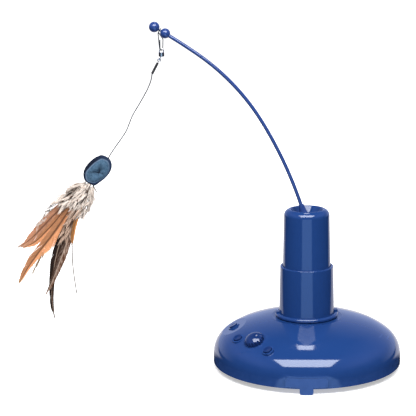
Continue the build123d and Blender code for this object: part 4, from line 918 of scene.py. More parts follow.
def smooth_path(corners: list[Pair], count: int, closed: bool = False) -> np.ndarray:
    """Evenly spaced points of a smooth curve through corners.

    Args:
        corners: Points in a plane.
        count: How many points to give.
        closed: Whether the curve runs on from the last corner to the first.

    Returns:
        The points, as rows of two numbers.
    """
    corner = np.array(corners, float)
    total = len(corner)
    dense = []
    t = np.linspace(0, 1, CORNER_STEPS, endpoint=False)[:, None]
    for number in range(total if closed else total - 1):
        picks = [number + shift for shift in (-1, 0, 1, 2)]
        picks = [pick % total if closed else min(max(pick, 0), total - 1) for pick in picks]
        p0, p1, p2, p3 = (corner[pick] for pick in picks)
        square = 2 * p0 - 5 * p1 + 4 * p2 - p3
        cube = 3 * p1 - p0 - 3 * p2 + p3
        dense.append(0.5 * (2 * p1 + (p2 - p0) * t + square * t**2 + cube * t**3))
    dense = np.concatenate([*dense, corner[:1] if closed else corner[-1:]])
    length = np.r_[0, np.cumsum(np.linalg.norm(np.diff(dense, axis=0), axis=1))]
    wanted = np.linspace(0, length[-1], count, endpoint=not closed)
    return np.stack([np.interp(wanted, length, dense[:, axis]) for axis in (0, 1)], axis=1)


# Sub-assemblies


@dataclass
class HardParts:
    """The moulded, turned and pressed parts that keep the solids' own shape."""

    finishes: dict[str, tuple[Finish, list[str]]] = field(default_factory=lambda: CAD_FINISHES)

    def dress(self) -> None:
        """Gives each solid its finish."""
        for group, (finish, names) in self.finishes.items():
            material = finish_of(finish)
            for name in names:
                piece = NODES[name]
                if not piece.material_slots:
                    piece.data.materials.append(material)
                for slot in piece.material_slots:
                    slot.material = material
            LOG.info("%s: %s", group, ", ".join(names))


@dataclass
class LureLine:
    """The line from the crimp to the lure, pulled nearly straight by the lure's weight."""

    radius: float = 0.62
    length: float = 96.0

    def route(self) -> list[Vector]:
        """Points of the line's route, in millimetres."""
        return [LINE_START, *[hanging(place) for place in LINE_POINTS], LURE_HEAD]

    def build(self) -> None:
        """Makes the line as one open spline."""
        curve = bpy.data.curves.new("hanging_line", "CURVE")
        curve.dimensions = "3D"
        curve.bevel_depth = self.radius * MM
        curve.bevel_resolution = 3
        curve.resolution_u = 12
        spline = curve.splines.new("NURBS")
        route = self.route()
        spline.points.add(len(route) - 1)
        for point, place in zip(spline.points, route):
            point.co = (*(place * MM), 1.0)
        spline.order_u = 3
        spline.use_endpoint_u = True
        curve.use_fill_caps = True
        curve.materials.append(finish_of(LINE_GREY))
        piece = placed("hanging_line", curve)
        hang(piece, "lure_line")
        LOG.info("line: one spline of %d points", len(route))


@dataclass
class Crimp:
    """Black wound sleeve under the swivel, with the line's loop through the ring."""

    radius: float = 1.3
    ridge: float = 0.14
    starts: int = 3
    pitch: float = 5.2
    end_rounding: float = 0.5
    end_share: float = 0.35
    rows: int = 110
    around: int = 36
    loop_radius: float = 0.3
    loop_half_width: float = 1.0
    loop_overlap: float = 0.8
    loop_steps: int = 13
    loop_sides: int = 8

    def sleeve(self) -> bpy.types.Object:
        """Sleeve with helical ridges and rounded ends.

        Returns:
            The piece.
        """
        share = np.linspace(0, 1, self.rows)
        turn = np.linspace(0, 2 * np.pi, self.around, endpoint=False)
        along = share[:, None] * CRIMP_LENGTH
        lay = self.starts * (turn[None] - 2 * np.pi * along / self.pitch)
        other = self.starts * (turn[None] + 2 * np.pi * along / self.pitch)
        swell = np.maximum(np.cos(lay), np.cos(other)) * self.ridge
        from_end = np.minimum(share, 1 - share) * CRIMP_LENGTH
        short = 1 - np.clip(from_end / self.end_rounding, 0, 1)
        rounding = self.end_share + (1 - self.end_share) * np.sqrt(np.clip(1 - short**2, 0, 1))
        radii = (self.radius + swell - self.ridge) * rounding[:, None]
        start = np.array(BALL + LINE_DOWN * CRIMP_START)
        down = np.array(LINE_DOWN)
        ring = AWAY * np.cos(turn)[:, None] + np.cross(down, AWAY) * np.sin(turn)[:, None]
        points = start + down * along[:, :, None] + ring[None] * radii[:, :, None]
        last = (self.rows - 1) * self.around
        caps = [tuple(range(self.around)), tuple(range(last, last + self.around))[::-1]]
        faces = ring_faces(self.rows, self.around, flip=True) + caps
        return new_piece("crimp_sleeve", points.reshape(-1, 3) * MM, faces, CRIMP_BLACK)

    def loop(self) -> bpy.types.Object:
        """Loop of the line between the ring and the sleeve.

        Returns:
            The piece.
        """
        half = self.loop_half_width
        low = CRIMP_START + self.loop_overlap
        turn = np.linspace(0, np.pi, self.loop_steps)
        down = [low, *(RING_END - half * np.sin(turn)), low]
        side = [-half, *(-half * np.cos(turn)), half]
        path = np.array([BALL + LINE_DOWN * d + Vector((0.0, s, 0.0)) for d, s in zip(down, side)]) * MM
        points, faces = tube_mesh(path, np.full(len(path), self.loop_radius * MM), self.loop_sides)
        return new_piece("crimp_loop", points, faces, LINE_GREY)

    def build(self) -> None:
        """Makes both pieces, which stand for the plain crimp."""
        hang(self.sleeve(), "line_crimp")
        hang(self.loop(), "line_crimp")
        LOG.info("crimp: sleeve and loop")


@dataclass(frozen=True)
class Crease:
    """One crease that runs out from the lure's stitch: its direction, its reach and its depth."""

    bearing: float
    reach: float
    strength: float


@dataclass(frozen=True)
class Ring:
    """One ring of the lure's mesh, with what its points carry."""

    reach: np.ndarray
    depth: np.ndarray
    rim: np.ndarray
    crease_shade: np.ndarray
    seam_line: np.ndarray


def bell(value: float, middle: float, width: float) -> float:
    """Height of a bell curve, 1 at its middle."""
    return math.exp(-(((value - middle) / width) ** 2))


@dataclass
class StuffedLure:
    """Padded cloth body: two panels on a dark gusset with a painted shaded side, drawn in by a stitch with
    creases round it that carry painted shade.
    """

    outline: list[Pair] = field(default_factory=lambda: [
        (-6.5, 1.1), (1.4, 0.1), (7.1, 4.0), (9.6, 10.5), (9.2, 18.3), (7.4, 25.0), (5.2, 31.0),
        (1.6, 32.4), (-6.2, 32.6), (-11.6, 27.2), (-13.4, 19.4), (-12.1, 10.4), (-9.6, 4.6),
    ])
    panel: list[Pair] = field(default_factory=lambda: [
        (-4.9, 3.4), (1.2, 2.0), (5.6, 5.4), (8.0, 10.8), (7.6, 18.0), (5.0, 24.0), (2.6, 28.0),
        (-4.2, 30.4), (-9.6, 24.8), (-9.6, 17.6), (-8.0, 9.8),
    ])
    line_samples: int = 400
    middle: Pair = (0.9, 16.8)
    half_depth: float = 6.0
    seam_depth: float = 4.6
    around: int = 144
    face_rings: int = 22
    gusset_rings: int = 9
    tuft_reach: float = 0.5
    tuft_fall: float = 2.2
    tuft_depth: float = 3.0
    stitch_reach: float = 0.13
    stitch_shade: float = 0.8
    creases: tuple[Crease, ...] = (
        Crease(2.55, 0.9, 0.75), Crease(-0.25, 0.8, 0.8), Crease(1.1, 0.5, 0.5), Crease(-2.1, 0.45, 0.6),
    )
    crease_depth: float = 1.3
    crease_width: float = 0.1
    crease_flare: float = 0.05
    crease_start: float = 0.08
    crease_fade: float = 0.6
    groove_place: float = 0.96
    groove_depth: float = 0.5
    seam_line_place: float = 0.97
    seam_width: float = 0.03
    seam_line_strength: float = 0.75
    seam_line_fade: float = 0.75
    seam_line_grip: float = 0.5
    shaded_side: float = -3.0
    pressure: float = 3.0
    frames: int = 16
    model_scale: float = 10.0
    most_swell: float = 0.8

    def radii(self, corners: list[Pair], angles: np.ndarray) -> np.ndarray:
        """How far a closed line lies from the stitch.

        Args:
            corners: The line's corners.
            angles: The directions.

        Returns:
            The distance in each direction.
        """
        line = smooth_path(corners, self.line_samples, closed=True) - np.array(self.middle)
        bearing = np.arctan2(line[:, 1], line[:, 0])
        order = np.argsort(bearing)
        return np.interp(angles, bearing[order], np.hypot(line[:, 0], line[:, 1])[order], period=2 * np.pi)

    def crease(self, angles: np.ndarray, share: float) -> np.ndarray:
        """How deep the creases are on one ring.

        Args:
            angles: Direction of each point from the stitch.
            share: The ring's place between stitch and seam, from 0 to 1.

        Returns:
            The depth at each point, from 0 to 1.
        """
        depth = np.zeros_like(angles)
        wide = self.crease_width + self.crease_flare / max(share, self.crease_start)
        for crease in self.creases:
            away = np.abs((angles - crease.bearing + np.pi) % (2 * np.pi) - np.pi)
            fade = max(0.0, 1.0 - share / crease.reach) ** self.crease_fade
            depth = np.maximum(depth, crease.strength * np.exp(-((away / wide) ** 2)) * fade)
        return depth

    def panel_ring(self, share: float, angles: np.ndarray, seam: np.ndarray, lit: np.ndarray) -> Ring:
        """Ring of a panel between the stitch and the seam.

        Args:
            share: 0 at the stitch and 1 at the seam.
            angles: Direction of each point from the stitch.
            seam: How far the seam lies in each direction.
            lit: How much painted light the gusset gets in each direction, from 0 to 1.

        Returns:
            The ring.
        """
        drawn = math.exp(-self.tuft_fall * (share / self.tuft_reach) ** 2)
        crease = self.crease(angles, share)
        dome = self.half_depth - (self.half_depth - self.seam_depth) * share**3
        depth = dome - self.tuft_depth * drawn - self.crease_depth * crease * (1 - drawn)
        groove = self.groove_depth * bell(share, self.groove_place, self.seam_width)
        # Painted shade: marks the creases and the ring round the stitch for darkening; the swelling also
        # holds these points.
        crease_shade = np.clip(crease + self.stitch_shade * bell(share, 0.0, self.stitch_reach), 0, 1)
        # A pale line along the seam, made fainter on the side of the gusset that gets painted light.
        seam_line = self.seam_line_strength * bell(share, self.seam_line_place, self.seam_width)
        seam_line = seam_line * (1 - self.seam_line_fade * lit)
        return Ring(seam * share, depth - groove, np.zeros_like(angles), crease_shade, seam_line)

    def gusset_ring(self, share: float, seam: np.ndarray, edge: np.ndarray) -> Ring:
        """Ring of the gusset between the seam and the body's edge.

        Args:
            share: 0 at the seam and 1 at the edge.
            seam: How far the seam lies in each direction.
            edge: How far the edge lies in each direction.

        Returns:
            The ring.
        """
        turn = share * math.pi / 2
        plain = np.zeros_like(seam)
        depth = np.full_like(seam, self.seam_depth * math.cos(turn))
        return Ring(seam + (edge - seam) * math.sin(turn), depth, np.ones_like(seam), plain, plain)

    def shell(self) -> tuple[np.ndarray, Faces, Carried]:
        """Closed form of the body before it swells.

        Returns:
            The points, the faces and the values that the mesh carries.
        """
        angles = np.linspace(-np.pi, np.pi, self.around, endpoint=False)
        seam, edge = self.radii(self.panel, angles), self.radii(self.outline, angles)
        # Painted light: the gusset's lit share is 0 towards the shaded side and 1 opposite it.
        lit = 0.5 - 0.5 * np.cos(angles - self.shaded_side)
        shares = [number / self.face_rings for number in range(self.face_rings + 1)]
        rings = [self.panel_ring(share, angles, seam, lit) for share in shares]
        shares = [number / self.gusset_rings for number in range(1, self.gusset_rings + 1)]
        rings += [self.gusset_ring(share, seam, edge) for share in shares]
        order = [(-1.0, ring) for ring in rings] + [(1.0, ring) for ring in rings[-2::-1]]
        head, right, down = (np.array(vector) for vector in (LURE_HEAD, LURE_ACROSS, LURE_DOWN))
        points = []
        for side, ring in order:
            x = self.middle[0] + ring.reach * np.cos(angles)
            z = self.middle[1] + ring.reach * np.sin(angles)
            place = head + x[:, None] * right + z[:, None] * down
            place[:, 1] = side * ring.depth
            points.append(place)
        carried = {
            label: np.concatenate([getattr(ring, label) for _, ring in order])
            for label in ("rim", "crease_shade", "seam_line")
        }
        carried["lit"] = np.tile(lit, len(order))
        return np.concatenate(points), ring_faces(len(order), self.around, flip=True), carried

    def fill(self, body: bpy.types.Object) -> None:
        """Adds the cloth that the pressure fills.

        Args:
            body: The body, with its held points in a vertex group.
        """
        cloth = body.modifiers.new("fill", "CLOTH")
        settings = cloth.settings
        settings.quality = 6
        settings.mass = 0.3
        settings.tension_stiffness = 12.0
        settings.compression_stiffness = 9.0
        settings.bending_stiffness = 0.6
        settings.use_pressure = True
        settings.uniform_pressure_force = self.pressure
        settings.vertex_group_mass = "held"
        settings.effector_weights.gravity = 0.0
        cloth.collision_settings.use_collision = False

    def swell(self, points: np.ndarray, faces: Faces, grip: np.ndarray) -> np.ndarray:
        """Fills the body by a short cloth simulation at a larger scale.

        Args:
            points: The body's points in millimetres.
            faces: Its faces.
            grip: How firmly each point is held, from 0 to 1.

        Returns:
            The points after the swelling, each moved by no more than most_swell.
        """
        scale = self.model_scale * MM
        mesh = bpy.data.meshes.new("swelling")
        mesh.from_pydata([tuple(p) for p in (points - points.mean(0)) * scale], [], faces)
        body = placed("swelling", mesh)
        held = body.vertex_groups.new(name="held")
        for number, weight in enumerate(grip):
            held.add([number], float(weight), "REPLACE")
        self.fill(body)
        scene = bpy.context.scene
        for number in range(1, self.frames + 1):
            scene.frame_set(number)
        done = body.evaluated_get(bpy.context.evaluated_depsgraph_get())
        moved = np.array([tuple(v.co) for v in done.data.vertices]) / scale + points.mean(0)
        scene.frame_set(1)
        bpy.data.objects.remove(body)
        step = moved - points
        length = np.linalg.norm(step, axis=1)[:, None]
        return points + step * np.minimum(1.0, self.most_swell / np.maximum(length, 1e-9))

    def build(self) -> None:
        """Makes the body with its seams and its drawn-in stitch."""
        points, faces, carried = self.shell()
        grip = np.clip(carried["crease_shade"] + carried["seam_line"] * self.seam_line_grip, 0, 1)
        points = self.swell(points, faces, grip)
        piece = new_piece("lure_cloth", points * MM, faces, LURE_CLOTH, carried)
        smooth = piece.modifiers.new("smooth", "SUBSURF")
        smooth.levels = smooth.render_levels = 1
        hang(piece, "lure_body")
        LOG.info("lure: cloth body of %d faces", len(faces))


class Vane(Enum):
    """How closely a feather's barbs hold together."""

    ZIPPED = "zipped"
    LOOSE = "loose"


@dataclass(frozen=True)
class Habit:
    """How far the barbs of one kind of vane stray, alone and in clumps."""

    clump_chance: float
    most_pull: float
    angle: float
    clump_angle: float
    reach: float
    clump_reach: float
    lift: float
    clump_lift: float
    half_width: float
    least_pull: float = 0.1


HABITS: dict[Vane, Habit] = {
    Vane.ZIPPED: Habit(
        clump_chance=0.04, most_pull=0.1, angle=0.008, clump_angle=0.008, reach=0.025,
        clump_reach=0.015, lift=0.03, clump_lift=0.1, half_width=0.62,
    ),
    Vane.LOOSE: Habit(
        clump_chance=0.16, most_pull=0.75, angle=0.09, clump_angle=0.12, reach=0.16,
        clump_reach=0.12, lift=0.5, clump_lift=0.9, half_width=0.42,
    ),
}


@dataclass(frozen=True)
class Barb:
    """How the barbs of every feather grow. Lengths are millimetres and angles radians."""

    steps: int = 8
    last_root: float = 0.99
    uneven: float = 0.15
    width_lead: float = 0.05
    least_reach: float = 0.25
    least_angle: float = 0.2
    overlength: float = 1.25
    past_tip: float = 1.2
    angle_fall: float = 0.8
    straighten: float = 0.6
    pull_rise: float = 1.5
    lift_rise: float = 1.3
    clump_rise: int = 2
    tilt: float = 0.3
    loose_twist: float = 0.5
    taper: float = 0.5
    width_share: float = 0.9
    tip_width: float = 0.05
    colour_lead: float = 0.6
    least_across: float = 0.3
    shade: float = 0.25


BARB = Barb()


@dataclass(frozen=True)
class Feather:
    """One feather: a tapered quill with barbs on both sides of its curved line.

    A row of widths gives a place along the quill, and the vane's reach to the left and right there.
    """

    name: str
    node: str
    slot: str
    line: tuple[Pair, ...]
    widths: tuple[Row, ...]
    layer: int
    finish: Plumage
    vane: Vane = Vane.ZIPPED
    quill: MouldedPlastic = DARK_QUILL
    bare: float = 0.1
    curl: float = 0.0
    camber: float = 0.16
    start_angle: float = 40.0
    end_angle: float = 17.0
    spacing: float = 0.3
    splits: tuple[float, ...] = ()
    split_reach: float = 0.05
    split_turn: float = 1.6
    line_samples: int = 160
    width_samples: int = 200
    width_stretch: int = 40
    quill_steps: int = 40
    quill_taper: float = 0.7
    quill_swell: float = 0.4
    quill_tip: float = 0.07
    seed: int = 1

    def axis(self, share: np.ndarray) -> tuple[np.ndarray, np.ndarray, np.ndarray]:
        """Quill's line in millimetres.

        Args:
            share: Places along the quill, from 0 to 1.

        Returns:
            The points, headings and sides there.
        """
        flat = smooth_path(list(self.line), self.line_samples)
        step = np.linspace(0, 1, len(flat))
        depth = (MIDDLE_LAYER - self.layer) * LAYER_STEP + self.curl * step**2
        path = np.stack([flat[:, 0], depth, flat[:, 1]], axis=1)
        ahead = np.gradient(path, axis=0)
        points = np.stack([np.interp(share, step, path[:, axis]) for axis in range(3)], axis=1)
        headings = unit(np.stack([np.interp(share, step, ahead[:, axis]) for axis in range(3)], axis=1))
        return points, headings, unit(np.cross(headings, AWAY))

    def width(self, share: np.ndarray, side: float) -> np.ndarray:
        """Reach of the vane to one side.

        Args:
            share: Places along the quill, from 0 to 1.
            side: -1 for the left and 1 for the right.

        Returns:
            The reach at each place, in millimetres.
        """
        stretch = self.width_stretch
        rows = [(place * stretch, right if side > 0 else left) for place, left, right in self.widths]
        spread = smooth_path(rows, self.width_samples)
        return np.interp(share, spread[:, 0] / stretch, np.maximum(spread[:, 1], 0.0))

    def angles(self, shares: np.ndarray, clumps: np.ndarray, rng: np.random.Generator) -> np.ndarray:
        """Angle between quill and barb at each barb's root.

        Args:
            shares: Places of the barbs along the quill.
            clumps: Number of each barb's clump.
            rng: Source of the small differences.

        Returns:
            The angles in radians.
        """
        habit = HABITS[self.vane]
        turn = (self.end_angle - self.start_angle) * shares**BARB.angle_fall
        angle = np.radians(self.start_angle + turn)
        own = rng.normal(0, habit.angle, len(shares))
        angle += own + rng.normal(0, habit.clump_angle, clumps.max() + 1)[clumps]
        for split in self.splits:
            beyond = shares - split
            parted = (beyond > 0) & (beyond < self.split_reach)
            angle += np.where(parted, -self.split_turn * (self.split_reach - beyond), 0.0)
        return angle

    def half_vane(self, side: float, rng: np.random.Generator) -> tuple[np.ndarray, np.ndarray, Carried]:
        """Barbs on one side of the quill.

        Args:
            side: -1 for the left and 1 for the right.
            rng: Source of the small differences.

        Returns:
            Centre line and half-widths of each barb, and the values that they carry.
        """
        habit = HABITS[self.vane]
        flat = smooth_path(list(self.line), self.line_samples)
        span = float(np.linalg.norm(np.diff(flat, axis=0), axis=1).sum())
        count = int(span * (1 - self.bare) / self.spacing)
        along = np.linspace(0, 1, BARB.steps)
        shares = np.linspace(self.bare, BARB.last_root, count)
        shares = shares + rng.normal(0, BARB.uneven * self.spacing / span, count)
        clumps = np.cumsum(rng.random(count) < habit.clump_chance)
        groups = clumps.max() + 1
        clump_middle = np.array([shares[clumps == clump].mean() for clump in clumps])
        pull = rng.uniform(habit.least_pull, habit.most_pull, groups)[clumps]
        angle = self.angles(shares, clumps, rng)
        base, heading, across = self.axis(np.clip(shares, 0, 1))
        reach = self.width(np.clip(shares + BARB.width_lead, 0, 1), side)
        reach = reach * (1 + rng.normal(0, habit.reach, count))
        reach *= (1 + rng.normal(0, habit.clump_reach, groups))[clumps]
        length = np.maximum(reach, BARB.least_reach) / np.sin(np.maximum(angle, BARB.least_angle))
        length = np.minimum(length * BARB.overlength, (1.0 - shares) * span + BARB.past_tip)
        bend = angle[:, None] * (1 - BARB.straighten * along[None])
        out, ahead = np.cumsum(np.sin(bend), axis=1), np.cumsum(np.cos(bend), axis=1)
        out, ahead = ((way - way[:, :1]) * (length / BARB.steps)[:, None] for way in (out, ahead))
        ahead += ((clump_middle - shares) * span * pull)[:, None] * along[None] ** BARB.pull_rise
        rise = self.camber * out**2 / np.maximum(reach.max(), 1.0)
        lift = rng.normal(0, habit.lift, count)[:, None] * along[None] ** BARB.lift_rise
        clump_lift = rng.normal(0, habit.clump_lift, groups)[clumps]
        lift += clump_lift[:, None] * along[None] ** BARB.clump_rise
        sideways = side * across[:, None]
        centres = base[:, None] + heading[:, None] * ahead[:, :, None] + sideways * out[:, :, None]
        centres = centres + AWAY * (rise + lift)[:, :, None]
        flat_way = np.cross(unit(np.gradient(centres, axis=1)), AWAY + sideways * BARB.tilt)
        if self.vane is Vane.LOOSE:
            flat_way = flat_way + rng.normal(0, BARB.loose_twist, (count, 1, 3))
        half = self.spacing * habit.half_width * (1 - along) ** BARB.taper
        half = half * BARB.width_share + BARB.tip_width
        carried = {
            "along": shares[:, None] + BARB.colour_lead * ahead / span,
            "across": side * out / np.maximum(reach, BARB.least_across)[:, None],
            "shade": np.broadcast_to(rng.normal(0, BARB.shade, count)[:, None], (count, BARB.steps)),
        }
        return centres, unit(flat_way) * half[None, :, None], carried

    def build(self) -> None:
        """Makes the vane and the quill and sets them on the lure."""
        rng = np.random.default_rng(self.seed)
        halves = [self.half_vane(side, rng) for side in (-1.0, 1.0)]
        points, faces = ribbon_mesh(*(np.concatenate([half[part] for half in halves]) for part in (0, 1)))
        carried = {
            label: np.repeat(np.concatenate([half[2][label] for half in halves]).reshape(-1), 2)
            for label in ("along", "across", "shade")
        }
        vane = new_piece(self.name + "_vane", points * MM, faces, self.finish, carried)
        share = np.linspace(0, 1.0, self.quill_steps)
        path, _, _ = self.axis(share)
        radii = self.quill_swell * (1 - share) ** self.quill_taper + self.quill_tip
        quill_points, quill_faces = tube_mesh(path * MM, radii * MM, QUILL_SIDES)
        quill = new_piece(self.name + "_quill", quill_points, quill_faces, self.quill)
        for piece in (vane, quill):
            hang(piece, self.node)
        LOG.info("%s: %d barb faces", self.name, len(faces))


@dataclass(frozen=True)
class Lock:
    """How the locks of all the down grow. Lengths are millimetres and angles radians."""

    steps: int = 8
    crowding: float = 0.85
    last_root: float = 0.92
    turn_step: float = 2.4
    turn_stray: float = 0.6
    ring: Pair = (0.35, 1.0)
    ring_power: float = 0.6
    shorten: float = 0.25
    bend: float = 0.22
    dark_tone: float = -1.0
    dark_spread: float = 0.1
    dark_width: float = 0.55
    tone_spread: float = 0.16
    thick: Pair = (0.7, 1.25)
    drift: Pair = (0.05, 0.25)
    flatness: float = 0.5
    root_pinch: float = 0.18
    pinch_run: float = 0.82
    least_pinch: float = 0.1
    strand_reach: Pair = (0.7, 1.08)
    twist: float = 0.5
    taper: float = 0.7
    tip_width: float = 0.025
    own_share: float = 0.5
    root_shade: float = 0.35
    root_fall: int = 3


LOCK = Lock()


@dataclass(frozen=True)
class Stream:
    """Locks of down that overlap like fur along a curved line."""

    name: str
    line: tuple[Pair, ...]
    widths: tuple[float, ...]
    locks: int
    length: Pair
    seed: int
    depth: float = 0.7
    forward: float = 0.0
    dark_share: float = 0.22
    flare: float = 16.0
    tone: float = 0.0
    strands: int = 26
    lock_width: float = 1.0
    strand_width: float = 0.13
    stray: float = 0.16
    ragged: float = 0.12
    line_samples: int = 80
    finish: Plumage = DOWN

    def lock(self, number: int, line: np.ndarray, rng: np.random.Generator) -> tuple[np.ndarray, ...]:
        """One lock of strands that lie close together.

        Args:
            number: The lock's number along the stream.
            line: Points of the stream's middle line.
            rng: Source of the small differences.

        Returns:
            The strands' centre lines and half-widths, and what they carry: along, across and shade.
        """
        t = np.linspace(0, 1, LOCK.steps)
        ahead = np.gradient(line, axis=0)
        even = np.linspace(0, 1, len(line))
        share = ((number + rng.random()) / self.locks) ** LOCK.crowding * LOCK.last_root
        stray = rng.uniform(-LOCK.turn_stray, LOCK.turn_stray)
        round_it = (number * LOCK.turn_step + stray) % (2 * np.pi)
        wide = np.interp(share, np.linspace(0, 1, len(self.widths)), self.widths)
        ring = rng.uniform(*LOCK.ring) ** LOCK.ring_power
        lean = np.interp(share, even, np.arctan2(-ahead[:, 0], -ahead[:, 1]))
        side = np.array((math.cos(lean), 0.0, -math.sin(lean)))
        root = np.array((np.interp(share, even, line[:, 0]), 0.0, np.interp(share, even, line[:, 1])))
        root += side * wide * ring * math.cos(round_it)
        root[1] = self.forward + wide * self.depth * ring * math.sin(round_it)
        turn = lean - math.radians(self.flare) * math.cos(round_it) * ring + rng.normal(0, self.stray)
        length = rng.uniform(*self.length) * (1 - LOCK.shorten * share)
        bend = rng.normal(0, LOCK.bend)
        dark = rng.random() < self.dark_share
        tone, tone_spread = (LOCK.dark_tone, LOCK.dark_spread) if dark else (self.tone, LOCK.tone_spread)
        tone = tone + rng.normal(0, tone_spread)
        thick = self.lock_width * (LOCK.dark_width if dark else 1.0) * rng.uniform(*LOCK.thick)
        turned = (turn + bend * t)[:-1]
        step = length / (LOCK.steps - 1)
        x, z = (np.r_[0, np.cumsum(-way(turned) * step)] for way in (np.sin, np.cos))
        drift = math.sin(round_it) * rng.uniform(*LOCK.drift) * length * t
        spine = np.stack([x, drift, z], axis=1)
        each = (self.strands, 1, 1)
        offset = rng.uniform(-1, 1, each) * thick
        back = rng.uniform(-LOCK.flatness, LOCK.flatness, each) * thick
        open_share = np.clip(LOCK.root_pinch + LOCK.pinch_run * t, 0, 1)
        shut = np.sin(np.pi * open_share)[None, :, None] * (1 - LOCK.least_pinch) + LOCK.least_pinch
        reach = rng.uniform(*LOCK.strand_reach, each)
        centres = root + spine[None] * reach + offset * shut * side + back * shut * AWAY
        centres = centres + rng.normal(0, self.ragged, (self.strands, 1, 3)) * t[None, :, None]
        facing = AWAY + rng.normal(0, LOCK.twist, (self.strands, 1, 3))
        flat_way = unit(np.cross(unit(np.gradient(centres, axis=1)), facing))
        half = (self.strand_width * (1 - t) ** LOCK.taper + LOCK.tip_width)[None, :, None]
        shape = (self.strands, LOCK.steps)
        along = np.broadcast_to(share * (1 - LOCK.own_share) + LOCK.own_share * t[None], shape)
        across = np.broadcast_to(rng.uniform(-1, 1, (self.strands, 1)), shape)
        shade = tone + rng.normal(0, LOCK.tone_spread, (self.strands, 1))
        shade = shade - LOCK.root_shade * (1 - t[None]) ** LOCK.root_fall
        return centres, flat_way * half, along, across, shade

    def build(self) -> None:
        """Makes the strands and sets them on the lure."""
        rng = np.random.default_rng(self.seed)
        line = smooth_path(list(self.line), self.line_samples)
        locks = [self.lock(number, line, rng) for number in range(self.locks)]
        centres, halves, *values = (np.concatenate(part) for part in zip(*locks))
        points, faces = ribbon_mesh(centres, halves)
        carried = {
            label: np.repeat(value.reshape(-1), 2)
            for label, value in zip(("along", "across", "shade"), values)
        }
        hang(new_piece(self.name, points * MM, faces, self.finish, carried), "down_plume")
        LOG.info("%s: %d locks", self.name, self.locks)


